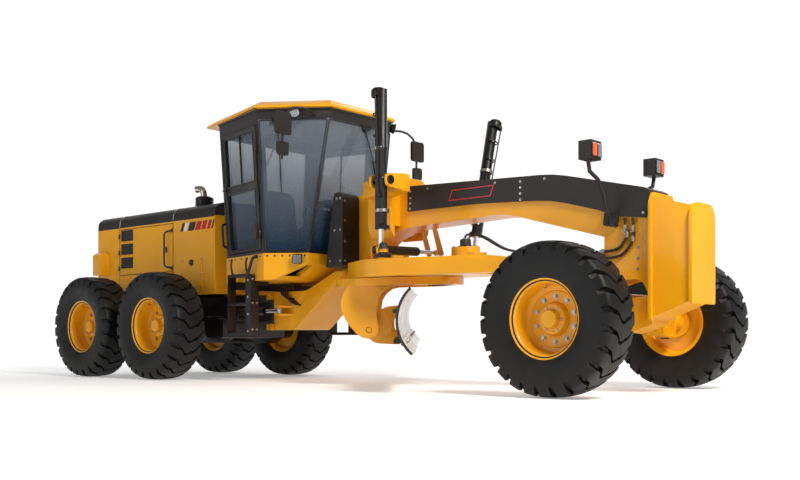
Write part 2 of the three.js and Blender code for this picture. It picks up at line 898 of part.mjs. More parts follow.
function seat() {
  const pedestal = block(1900, 2200, -170, 170, CAB_FLOOR + GAP, 1640);
  const cushion = side([[1800, 1630, 40], [2310, 1630, 60], [2320, 1760, 60], [1800, 1730, 40]], -260, 260);
  const back = side([[1790, 1700, 40], [1900, 1700, 40], [1800, 2400, 50], [1690, 2400, 50]], -250, 250);
  const rests = bothSides((s) =>
    block(1850, 2200, Math.min(s * 255, s * 330), Math.max(s * 255, s * 330), 1880, 1940),
  );
  const struts = bothSides((s) =>
    block(1800, 1870, Math.min(s * 245, s * 330), Math.max(s * 245, s * 330), 1700, 1940),
  );
  return join(pedestal, cushion, back, rests, struts);
}

function console() {
  const column = side([[2540, CAB_FLOOR + 120], [2700, CAB_FLOOR + 210], [2640, 1950, 30], [2530, 1950, 30]], -160, 160);
  const foot = block(2470, 2556, -160, 160, CAB_FLOOR + GAP, CAB_FLOOR + 260);
  const shaft = bar([2600, 0, 1900], [2500, 0, 2080], 22, 12);
  const rimPath = solid(new THREE.TorusGeometry(205, 14, 6, 16).rotateY(-0.5).translate(2500, 0, 2080));
  const spoke = bar([2500, -200, 2080], [2500, 200, 2080], 12, 8);
  const levers = bothSides((s) =>
    [60, 140].map((offset, i) =>
      bar([2585, s * (55 + i * 35), 1930], [2540 - i * 5, s * (110 + offset), 2110], 8, 6),
    ),
  ).flat();
  return join(column, foot, shaft, rimPath, spoke, levers);
}

function frontCabBox() {
  const body = side(
    [
      [3075, 1330, 20],
      [3350, 1340, 30],
      [3350, 2130, 30],
      [3310, 2180, 30],
      [3215, 2180, 30],
    ],
    -450,
    450,
  );
  const y = BOOM_HALF_WIDTH + GAP;
  return cut(body, block(3125 - GAP, 3500, -y, y, 1200, 2300), block(3000, 3200, -y, y, 1200, 1400));
}

// The steps of both sides hang from one cross member under the cab.
function accessLadders() {
  const flight = join(
    block(2215, 2312, 800, 925, 560, 1260),
    block(1880, 1892, 800, 920, 560, 1270),
    [560, 905, 1240].map((z) => block(1885, 2240, 800, 925, z, z + 32)),
    [1960, 2230].map((x) =>
      join(
        block(x, x + 22, 905, 925, 1235, 1290),
        pipe([[x + 11, 915, 1265], [x + 14, 935, 1330], [x + 55, 975, 1400], [x + 75, 978, 1450]], 12, 4),
      ),
    ),
    block(1880, 1960, 640, 820, 1100, CAB_BASE_FOOT - GAP),
    block(2230, 2300, 640, 820, 1145, CAB_BASE_FOOT - GAP),
  );
  const crossMember = block(1892, 1948, -700, 700, 1100, CAB_BASE_FOOT - GAP);
  const clearance = cabRing(CAB_SILL, -3);
  const tub = plan(clearance, CAB_BASE_FOOT - GAP, CAB_SILL);
  return cut(join(flight, flipY(flight), crossMember), tub);
}

function cab(parent) {
  piece(parent, "cab_base", cabBase(), YELLOW);
  piece(parent, "cab_frame", cabFrame(), BLACK);
  piece(parent, "cab_roof", cabRoof(), YELLOW);
  piece(parent, "cab_door_right", cabDoor(DOOR_FACE_RIGHT), BLACK);
  piece(parent, "cab_door_left", cabDoor(DOOR_FACE_LEFT), BLACK);
  piece(parent, "door_glass_right", doorGlass(DOOR_FACE_RIGHT), GLASS);
  piece(parent, "door_glass_left", doorGlass(DOOR_FACE_LEFT), GLASS);
  piece(parent, "front_glass", frontGlass(), GLASS);
  piece(parent, "rear_glass", cabPanel(5, 96, 96, CAB_SILL + 41, HEADER_FOOT - 6, 12, 18), GLASS);
  piece(parent, "operator_seat", seat(), SEAT_CLOTH);
  piece(parent, "steering_console", console(), BLACK);
  piece(parent, "front_cab_box", frontCabBox(), BLACK);
  piece(parent, "access_ladders", accessLadders(), BLACK);
}

// ---- Front axle: a beam that rocks, leaning brackets, steered knuckles ----
const LEAN_Y = 720;
const BAR_Z = 900;
const KINGPIN_Y = 862;
const CHEEK_Y = 815;
const LEAN_Z = 600;
const STEER_ARM = 250;
const ARM_TIP = 0;
const TIE_Z = 815;
const LEAN_BAR_X = 118;

function frontAxle() {
  const beam = front(
    [
      [-700, LEAN_Z - 62, 40],
      [-300, LEAN_Z - 30, 60],
      [300, LEAN_Z - 30, 60],
      [700, LEAN_Z - 62, 40],
      [700, LEAN_Z + 62, 40],
      [420, LEAN_Z + 90, 60],
      [110, LEAN_Z + 110, 60],
      [90, LEAN_Z + 260, 60],
      [-90, LEAN_Z + 260, 60],
      [-110, LEAN_Z + 110, 60],
      [-420, LEAN_Z + 90, 60],
      [-700, LEAN_Z + 62, 40],
    ],
    -85,
    85,
  );
  const eyes = bothSides((s) => bar([-48, s * LEAN_Y, LEAN_Z], [48, s * LEAN_Y, LEAN_Z], 66, 24));
  const trim = bothSides((s) => [
    block(-90, -48, Math.min(s * 610, s * 800), Math.max(s * 610, s * 800), 500, 700),
    block(48, 90, Math.min(s * 610, s * 800), Math.max(s * 610, s * 800), 500, 700),
  ]).flat();
  const holes = [
    bar([-100, 0, AXLE_Z + 140], [100, 0, AXLE_Z + 140], 37, 20),
    ...bothSides((s) => bar([-60, s * LEAN_Y, LEAN_Z], [60, s * LEAN_Y, LEAN_Z], 31, 20)),
  ];
  return cut(join(cut(beam, trim), eyes), holes);
}

function leanBracket() {
  const cheek = (top, x) =>
    front(
      [
        [LEAN_Y - 62, LEAN_Z - 62, 30],
        [CHEEK_Y, LEAN_Z - 62, 20],
        [CHEEK_Y, LEAN_Z + 130],
        [LEAN_Y + 62, top, 30],
        [LEAN_Y - 45, top, 30],
        [LEAN_Y - 62, LEAN_Z + 60, 30],
      ],
      x,
      x + 30,
    );
  const cheeks = [cheek(LEAN_Z + 145, -86), cheek(BAR_Z + 45, 56)];
  const pin = bar([-70, LEAN_Y, LEAN_Z], [70, LEAN_Y, LEAN_Z], 28, 16);
  const boss = bar([0, KINGPIN_Y, LEAN_Z - 35], [0, KINGPIN_Y, LEAN_Z + 150], 50, 16);
  const bridge = join(
    block(-80, 80, CHEEK_Y - 28, CHEEK_Y, LEAN_Z - 35, LEAN_Z + 130),
    block(-44, 44, CHEEK_Y - 10, KINGPIN_Y, LEAN_Z - 35, LEAN_Z + 145),
  );
  const barPin = bar([70, LEAN_Y, BAR_Z], [LEAN_BAR_X + 30, LEAN_Y, BAR_Z], 17, 12);
  return join(cheeks, pin, boss, bridge, barPin);
}

function knuckle(hasPin) {
  const hubY = FRONT_HALF_TRACK + FRONT_DISC - 2;
  const ears = [
    [LEAN_Z - 78, LEAN_Z - 42],
    [LEAN_Z + 157, LEAN_Z + 192],
  ].map(([z0, z1]) =>
    join(
      bar([0, KINGPIN_Y, z0], [0, KINGPIN_Y, z1], 52, 16),
      block(-52, 52, KINGPIN_Y, 962, z0, z1),
    ),
  );
  const plate = block(-75, 75, 930, 965, LEAN_Z - 78, LEAN_Z + 192);
  const spindle = bar([0, 945, TYRE_RADIUS], [0, hubY - 20, TYRE_RADIUS], 88, 20);
  const flange = bar([0, hubY - 30, TYRE_RADIUS], [0, hubY, TYRE_RADIUS], 150, 20);
  const tip = KINGPIN_Y - ARM_TIP;
  const arm = plan(
    [
      [38, KINGPIN_Y - 34, 20],
      [38, KINGPIN_Y + 34, 20],
      [-STEER_ARM, tip + 34, 30],
      [-STEER_ARM - 40, tip + 20, 20],
      [-STEER_ARM - 40, tip - 20, 20],
      [-STEER_ARM, tip - 34, 30],
    ],
    LEAN_Z + 162,
    LEAN_Z + 192,
  );
  const armPin = bar([-STEER_ARM, tip, LEAN_Z + 180], [-STEER_ARM, tip, TIE_Z + 26], 15, 12);
  return join(ears, plate, spindle, flange, arm, hasPin ? armPin : []);
}

function leanBar() {
  const rod = bar([LEAN_BAR_X, -LEAN_Y, BAR_Z], [LEAN_BAR_X, LEAN_Y, BAR_Z], 26, 12);
  const ends = (radius, half) =>
    bothSides((s) =>
      bar([LEAN_BAR_X - half, s * LEAN_Y, BAR_Z], [LEAN_BAR_X + half, s * LEAN_Y, BAR_Z], radius, 16),
    );
  return cut(join(rod, ends(42, 20)), ends(20, 60));
}

// The tie rod's left ball joint: a ring round the steering arm's pin with a fork behind it.
function tieRodEnd() {
  const tip = KINGPIN_Y - ARM_TIP;
  const pinHole = bar([-STEER_ARM, tip, TIE_Z - 60], [-STEER_ARM, tip, TIE_Z + 60], 18, 16);
  const housing = bar([-STEER_ARM, tip, TIE_Z - 18], [-STEER_ARM, tip, TIE_Z + 18], 36, 16);
  const stud = bar([-STEER_ARM - 30, tip, TIE_Z], [-STEER_ARM - 78, tip, TIE_Z], 14, 12);
  return cut(join(housing, stud), pinHole);
}

// The rod runs just behind the steering arms and reaches forward over the right arm's tip.
function tieRod() {
  const tip = KINGPIN_Y - ARM_TIP;
  const rear = -STEER_ARM - 62;
  const rod = bar([rear, -tip, TIE_Z], [rear, tip - 30, TIE_Z], 20, 12);
  const eye = bar([rear - 12, tip, TIE_Z], [rear + 12, tip, TIE_Z], 34, 16);
  const reach = block(rear - 18, -STEER_ARM, -tip - 20, -tip + 20, TIE_Z - 6, TIE_Z + 20);
  const socket = bar([-STEER_ARM, -tip, TIE_Z - 6], [-STEER_ARM, -tip, TIE_Z + 24], 34, 14);
  const studHole = bar([rear - 60, tip, TIE_Z], [rear + 60, tip, TIE_Z], 17, 16);
  return cut(join(rod, eye, reach, socket), studHole);
}

function frontAxleGroup(parent) {
  const axle = group(parent, [WHEELBASE, 0, 0]);
  piece(axle, "front_axle", frontAxle(), YELLOW);
  piece(axle, "lean_bar", leanBar(), BLACK);
  piece(axle, "tie_rod_end", tieRodEnd(), BLACK);
  piece(axle, "tie_rod", tieRod(), STEEL);
  for (const s of [1, -1]) {
    const bracket = leanBracket();
    const stub = knuckle(s > 0);
    piece(axle, `lean_bracket_${sideName(s)}`, s > 0 ? bracket : flipY(bracket), YELLOW);
    piece(axle, `steering_knuckle_${sideName(s)}`, s > 0 ? stub : flipY(stub), YELLOW);
    wheel(axle, `${sideName(s)}_front`, [0, s * FRONT_HALF_TRACK, TYRE_RADIUS], s, FRONT_DISC);
  }
}

// ---- Drawbar, circle and blade: x runs backwards from the drawbar's front pivot ----
const DECK_FOOT = -30;
const DECK_TOP = 150;
const LIFT_BALL = { x: LIFT_X - DRAWBAR_PIVOT[0], y: 790, z: 215 };
const LIFT_BALL_HEIGHT = 34;
const SHIFT_BASE = [SHIFT_X - DRAWBAR_PIVOT[0], -660, 260];

function drawbarPivot() {
  const body = block(-58, 58, -60, 60, -36, 36);
  const post = bar([0, 0, -68], [0, 0, 68], 21, 16);
  const crossPin = bar([0, -105, 0], [0, 105, 0], 20, 16);
  return join(body, post, crossPin);
}

function drawbar() {
  const deck = plan(
    mirrored([
      [60, -100, 10],
      [-160, -130],
      [LIFT_BALL.x + 80, -860],
      [LIFT_BALL.x - 220, -860, 60],
      [-CIRCLE_OFFSET - 420, -420, 60],
    ]),
    DECK_FOOT,
    DECK_TOP,
  );
  const throat = block(-95, 200, -66, 66, -200, 300);
  const between = plan(
    mirrored([
      [-420, -40, 20],
      [-1560, -500, 60],
    ]),
    -200,
    300,
  );
  const taper = side(
    [
      [200, 46],
      [-150, 46],
      [-900, DECK_TOP + 1],
      [200, DECK_TOP + 1],
    ],
    -1000,
    1000,
  );
  const driveDeck = block(-1620, -1180, -420, 420, DECK_FOOT, 70).intersect(deck);
  const drive = join(
    bar([-1370, -60, 60], [-1370, -60, 262], 152, 24),
    block(-1480, -1180, -170, 50, 60, 200),
  );
  const towers = bothSides((s) =>
    join(
      bar([LIFT_BALL.x, s * LIFT_BALL.y, 140], [LIFT_BALL.x, s * LIFT_BALL.y, LIFT_BALL.z - 10], 62, 16),
      bar([LIFT_BALL.x, s * LIFT_BALL.y, LIFT_BALL.z - 12], [LIFT_BALL.x, s * LIFT_BALL.y, LIFT_BALL.z + 34], 52, 16),
    ),
  );
  const swivel = bar([-CIRCLE_OFFSET, 0, 100], [-CIRCLE_OFFSET, 0, 240], 110, 16);
  const [shiftX, shiftY, shiftZ] = SHIFT_BASE;
  const shiftPost = join(
    [shiftX - 48, shiftX + 28].map((x) => block(x, x + 20, shiftY - 42, shiftY + 42, 140, shiftZ + 30)),
    bar([shiftX - 40, shiftY, shiftZ], [shiftX + 40, shiftY, shiftZ], 20, 12),
  );
  const noseHole = bar([0, -200, 0], [0, 200, 0], 23, 16);
  const body = cut(deck, taper, throat, between);
  return cut(join(body, driveDeck, drive, towers, swivel, shiftPost), noseHole);
}

const ARM_Y = 520;
const RING_TOP = DECK_FOOT - 6;
const RING_FOOT = -120;
const TIP_PIN = [-330, -590];

function circle() {
  const tooth = cut(
    bar([0, 0, RING_FOOT], [0, 0, RING_TOP], CIRCLE_RADIUS, 36),
    bar([0, 0, -200], [0, 0, 50], CIRCLE_RADIUS - 110, 36),
  );
  const arms = bothSides((s) =>
    side(
      [
        [520, RING_TOP, 20],
        [555, -60],
        [540, RING_FOOT - 2, 20],
        [-110, RING_FOOT - 2, 100],
        [-240, -260, 100],
        [-240, -500, 60],
        [-215, -600, 60],
        [-270, -690, 60],
        [-420, -680, 100],
        [-590, -480, 140],
        [-640, -280, 140],
        [-500, RING_TOP, 100],
      ],
      s * ARM_Y - 30,
      s * ARM_Y + 30,
    ),
  );
  const pinHoles = bothSides((s) =>
    bar([TIP_PIN[0], s * (ARM_Y - 60), TIP_PIN[1]], [TIP_PIN[0], s * (ARM_Y + 60), TIP_PIN[1]], 33, 16),
  );
  return cut(join(tooth, arms), pinHoles);
}

// The blade's section is an arc whose hollow faces forwards.
const BLADE_RADIUS = 430;
const BLADE_FOOT = -805;
const BLADE_BACK = 15;
const RAIL_ZS = [-395, -700];
const BLADE_MIDDLE = BLADE_FOOT + BLADE_HEIGHT / 2;
const bladeBackAt = (z) =>
  BLADE_BACK + BLADE_RADIUS - Math.sqrt(BLADE_RADIUS ** 2 - (z - BLADE_MIDDLE) ** 2);

function bladeArc(radius, steps) {
  const span = Math.asin(BLADE_HEIGHT / 2 / radius);
  return Array.from({ length: steps + 1 }, (_, i) => {
    const angle = -span + (2 * span * i) / steps;
    return [
      BLADE_BACK + BLADE_RADIUS - radius * Math.cos(angle),
      BLADE_MIDDLE + radius * Math.sin(angle),
    ];
  });
}

function moldboard() {
  const back = bladeArc(BLADE_RADIUS, 12);
  const face = bladeArc(BLADE_RADIUS - 26, 12).reverse();
  const sheet = side([...back, ...face], -BLADE_LENGTH / 2, BLADE_LENGTH / 2);
  const rails = RAIL_ZS.map((z) => block(-40, bladeBackAt(z) + 14, -1250, 1250, z - 22, z + 22));
  return join(sheet, rails);
}

function tiltBracket() {
  const [pinX, pinZ] = TIP_PIN;
  const cheeks = bothSides((s) =>
    side(
      [
        [pinX - 60, pinZ - 50, 40],
        [pinX + 60, pinZ - 150, 40],
        [4, -760, 20],
        [4, -640],
        [-90, -620, 30],
        [-90, -475, 30],
        [4, -455],
        [4, -335, 20],
        [-160, -345, 60],
        [pinX - 60, pinZ + 60, 60],
      ],
      s * 455 - 20,
      s * 455 + 20,
    ),
  );
  const grooves = RAIL_ZS.map((z) => block(-47, 100, -600, 600, z - 28, z + 28));
  const tube = bar([pinX, -460, pinZ], [pinX, 460, pinZ], 55, 16);
  const pins = bar([pinX, -ARM_Y - 25, pinZ], [pinX, ARM_Y + 25, pinZ], 28, 16);
  return join(cut(join(cheeks), grooves), tube, pins);
}

function workGear(parent) {
  const swung = group(parent, DRAWBAR_PIVOT, [DRAWBAR_ROLL, 0, 0]);
  swung.rotation.order = "ZYX";
  swung.rotation.z = THREE.MathUtils.degToRad(DRAWBAR_SWING);
  piece(swung, "drawbar_pivot", drawbarPivot(), STEEL);
  piece(swung, "drawbar", drawbar(), YELLOW);
  const turntable = group(swung, [-CIRCLE_OFFSET, 0, 0], [0, 0, BLADE_ANGLE]);
  piece(turntable, "blade_circle", circle(), YELLOW);
  piece(turntable, "tilt_bracket", tiltBracket(), YELLOW);
  piece(turntable, "moldboard", moldboard(), SILVER);
  return swung;
}

// ---- Hydraulic cylinders: +Z runs from the barrel's pivot, the group's origin, to the rod's eye ----
function cylinderGroup(parent, from, to) {
  const run = new THREE.Vector3(...to).sub(new THREE.Vector3(...from));
  const made = group(parent, from);
  made.quaternion.setFromUnitVectors(new THREE.Vector3(0, 0, 1), run.clone().normalize());
  return { made, length: run.length() };
}

// Blade lift: the barrel hangs in trunnions near its middle and the rod ends above its ball.
function liftCylinder(parent, label, from, to, shortfall) {
  const { made, length } = cylinderGroup(parent, from, to);
  const barrelEnd = length - 245;
  const top = -947;
  const barrel = cut(
    join(
      bar([0, 0, top], [0, 0, barrelEnd], 64, 20),
      bar([0, 0, -338], [0, 0, -318], 70, 20),
      bar([-118, 0, 0], [118, 0, 0], 28, 16),
    ),
    bar([0, 0, top + 40], [0, 0, barrelEnd + 10], 42, 16),
  );
  const end = length - LIFT_BALL_HEIGHT - shortfall;
  const rod = join(
    bar([0, 0, top + 90], [0, 0, end], 28, 16),
    bar([0, 0, top + 90], [0, 0, top + 150], 38, 16),
  );
  piece(made, `lift_barrel_${label}`, barrel, BLACK);
  piece(made, `lift_rod_${label}`, rod, CHROME);
}

// An eye across a cylinder: its pin runs along local X or local Y.
function crossEye(axis, z, radius, half) {
  const reach = axis === "x" ? [half, 0] : [0, half];
  return bar([-reach[0], -reach[1], z], [reach[0], reach[1], z], radius, 14);
}

function plainCylinder(parent, names, from, to, { radius, rodRadius, barrelEnd, piston, axes, eyes }) {
  const { made, length } = cylinderGroup(parent, from, to);
  const barrel = join(
    bar([0, 0, 70], [0, 0, barrelEnd], radius, 16),
    bar([0, 0, 20], [0, 0, 80], eyes[0], 12),
    crossEye(axes[0], 0, 42, eyes[0]),
  );
  const bore = bar([0, 0, 100], [0, 0, barrelEnd + 10], radius - 12, 16);
  const rod = join(
    bar([0, 0, piston], [0, 0, length - 20], rodRadius, 12),
    bar([0, 0, piston], [0, 0, piston + 40], radius - 15, 16),
    crossEye(axes[1], length, 36, eyes[1]),
  );
  piece(made, names[0], cut(barrel, bore, crossEye(axes[0], 0, 22, 100)), BLACK);
  piece(made, names[1], cut(rod, crossEye(axes[1], length, 18, 100)), CHROME);
}

function cylinders(parent, rear, swung) {
  parent.updateMatrixWorld(true);
  const toMachine = (point) =>
    parent.worldToLocal(new THREE.Vector3(...point).applyMatrix4(swung.matrixWorld)).toArray();
  const toDrawbar = (point) =>
    swung.worldToLocal(new THREE.Vector3(...point).applyMatrix4(parent.matrixWorld)).toArray();
  for (const s of [1, -1]) {
    const eye = toMachine([LIFT_BALL.x, s * LIFT_BALL.y, LIFT_BALL.z]);
    const trunnion = [LIFT_X, s * LIFT_TRUNNION_Y, LIFT_TRUNNION_Z];
    liftCylinder(parent, sideName(s), trunnion, [LIFT_X, eye[1], eye[2]], s > 0 ? 30 : 12);
    plainCylinder(
      rear,
      [`articulation_barrel_${sideName(s)}`, `articulation_rod_${sideName(s)}`],
      [ARTIC_REAR[0], s * ARTIC_REAR[1], ARTIC_Z],
      [ARTIC_FRONT[0], s * ARTIC_FRONT[1], ARTIC_Z],
      { radius: 48, rodRadius: 24, barrelEnd: 590, piston: 320, axes: ["x", "x"], eyes: [22, 30] },
    );
  }
  plainCylinder(
    swung,
    ["centre_shift_barrel", "centre_shift_rod"],
    SHIFT_BASE,
    toDrawbar([SHIFT_X, SHIFT_EYE_Y, SHIFT_EYE_Z]),
    { radius: 50, rodRadius: 22, barrelEnd: 680, piston: 372, axes: ["x", "x"], eyes: [22, 22] },
  );
}

const rearBody = group(grader);
const frontBody = group(grader);
rearMachine(rearBody);
tandems(rearBody);
piece(frontBody, "front_frame", frontFrame(), YELLOW);
piece(frontBody, "boom_cover", boomCover(), BLACK);
piece(frontBody, "lift_saddle", saddle(), YELLOW);
cab(frontBody);
frontAxleGroup(frontBody);
const swungDrawbar = workGear(frontBody);
cylinders(frontBody, rearBody, swungDrawbar);

export default grader;
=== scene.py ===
"""Looks of an articulated motor grader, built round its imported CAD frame.

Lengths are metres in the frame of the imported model: +X forwards, +Y to the machine's left, +Z up.
Places given in millimetres are counted from the middle of the rear tandem, and at() turns them into the frame.
"""

import enum
import json
import logging
from dataclasses import dataclass, field
from functools import partial

import bmesh
import bpy
import numpy as np
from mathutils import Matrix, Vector

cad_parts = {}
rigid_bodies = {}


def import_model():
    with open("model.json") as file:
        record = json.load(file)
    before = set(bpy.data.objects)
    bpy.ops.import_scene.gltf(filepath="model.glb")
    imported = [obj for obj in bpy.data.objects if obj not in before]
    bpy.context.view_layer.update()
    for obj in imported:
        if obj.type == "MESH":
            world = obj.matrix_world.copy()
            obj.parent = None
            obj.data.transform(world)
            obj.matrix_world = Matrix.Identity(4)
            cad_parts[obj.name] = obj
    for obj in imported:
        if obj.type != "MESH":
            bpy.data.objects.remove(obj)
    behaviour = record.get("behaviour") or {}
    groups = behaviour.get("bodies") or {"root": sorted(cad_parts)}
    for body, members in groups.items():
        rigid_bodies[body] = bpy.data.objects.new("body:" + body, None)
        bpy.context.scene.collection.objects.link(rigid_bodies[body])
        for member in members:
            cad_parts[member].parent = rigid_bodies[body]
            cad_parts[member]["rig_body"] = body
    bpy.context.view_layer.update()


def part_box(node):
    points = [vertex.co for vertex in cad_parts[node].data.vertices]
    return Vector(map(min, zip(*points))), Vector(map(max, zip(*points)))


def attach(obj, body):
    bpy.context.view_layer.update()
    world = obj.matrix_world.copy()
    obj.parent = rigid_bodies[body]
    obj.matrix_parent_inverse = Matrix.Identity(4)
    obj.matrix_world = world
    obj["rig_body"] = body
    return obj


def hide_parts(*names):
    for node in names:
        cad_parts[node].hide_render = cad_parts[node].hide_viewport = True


LOG = logging.getLogger("grader")
TANDEM_X = 2920.0
SMOOTH_ANGLE = np.radians(38.0)
Array = np.ndarray


def at(*points: tuple[float, float, float]) -> Array:
    """Turn places in millimetres from the tandem's middle into frame metres.

    Formula: (x - 2920, y, z) / 1000.

    Args:
        points: One or more (x, y, z) places.

    Returns:
        An (n, 3) array.
    """
    return (np.array(points, float) - (TANDEM_X, 0.0, 0.0)) / 1000.0


def linear(colour: str) -> tuple[float, float, float, float]:
    """Turn an sRGB hex colour into linear light.

    Formula: ((c + 0.055) / 1.055) ^ 2.4 above 0.04045, and c / 12.92 below.

    Args:
        colour: The colour as "#RRGGBB".

    Returns:
        Red, green, blue and an alpha of 1.
    """
    c = np.array([int(colour[i : i + 2], 16) for i in (1, 3, 5)]) / 255.0
    c = np.where(c > 0.04045, ((c + 0.055) / 1.055) ** 2.4, c / 12.92)
    return (float(c[0]), float(c[1]), float(c[2]), 1.0)


def unit(vectors: Array) -> Array:
    """Scale vectors along the last axis to length 1."""
    return vectors / np.maximum(np.linalg.norm(vectors, axis=-1, keepdims=True), 1e-12)


def rounded(corners: Array, radius: float, steps: int = 5) -> Array:
    """Round a closed outline's corners.

    Formula: each corner P becomes the quadratic curve (1-t)^2 A + 2t(1-t) P + t^2 C,
    with A and C on its two edges, one radius (at most 0.45 of the edge) away.

    Args:
        corners: The outline's corners, an (n, 2) array.
        radius: The rounding radius in the outline's unit.
        steps: Points on each rounding.

    Returns:
        The rounded outline as an (n * steps, 2) array.
    """
    p = np.asarray(corners, float)
    before, after = np.roll(p, 1, 0) - p, np.roll(p, -1, 0) - p
    reach = [np.minimum(radius, 0.45 * np.linalg.norm(e, axis=1))[:, None] for e in (before, after)]
    a, c = p + unit(before) * reach[0], p + unit(after) * reach[1]
    t = np.linspace(0, 1, steps)[None, :, None]
    curve = (1 - t) ** 2 * a[:, None] + 2 * t * (1 - t) * p[:, None] + t**2 * c[:, None]
    return curve.reshape(-1, 2)


def spline(points: Array, steps: int = 8) -> Array:
    """Draw a smooth curve through points.

    Formula: the Catmull-Rom cubic 0.5 (2b + (c-a)t + (2a-5b+4c-d)t^2 + (3b-a-3c+d)t^3).

    Args:
        points: The (n, 3) points it goes through.
        steps: Samples in each stretch.

    Returns:
        The curve's points.
    """
    p = np.asarray(points, float)
    p = np.vstack([2 * p[0] - p[1], p, 2 * p[-1] - p[-2]])
    a, b, c, d = p[:-3, None], p[1:-2, None], p[2:-1, None], p[3:, None]
    t = np.linspace(0, 1, steps, endpoint=False)[None, :, None]
    curve = 0.5 * (2 * b + (c - a) * t + (2 * a - 5 * b + 4 * c - d) * t**2 + (3 * b - a - 3 * c + d) * t**3)
    return np.vstack([curve.reshape(-1, 3), p[-2]])


def bent(corners: Array, radius: float, steps: int = 5) -> Array:
    """Draw an open path with straight runs and rounded bends.

    Formula: the same quadratic corner curve as rounded(), with the two ends kept.

    Args:
        corners: The (n, 3) ends and corners.
        radius: The bending radius.
        steps: Points on each bend.

    Returns:
        The path's points.
    """
    p = np.asarray(corners, float)
    before, after = p[:-2] - p[1:-1], p[2:] - p[1:-1]
    reach = [np.minimum(radius, 0.45 * np.linalg.norm(e, axis=1))[:, None] for e in (before, after)]
    a, c = p[1:-1] + unit(before) * reach[0], p[1:-1] + unit(after) * reach[1]
    t = np.linspace(0, 1, steps)[None, :, None]
    curve = (1 - t) ** 2 * a[:, None] + 2 * t * (1 - t) * p[1:-1, None] + t**2 * c[:, None]
    return np.vstack([p[:1], curve.reshape(-1, 3), p[-1:]])


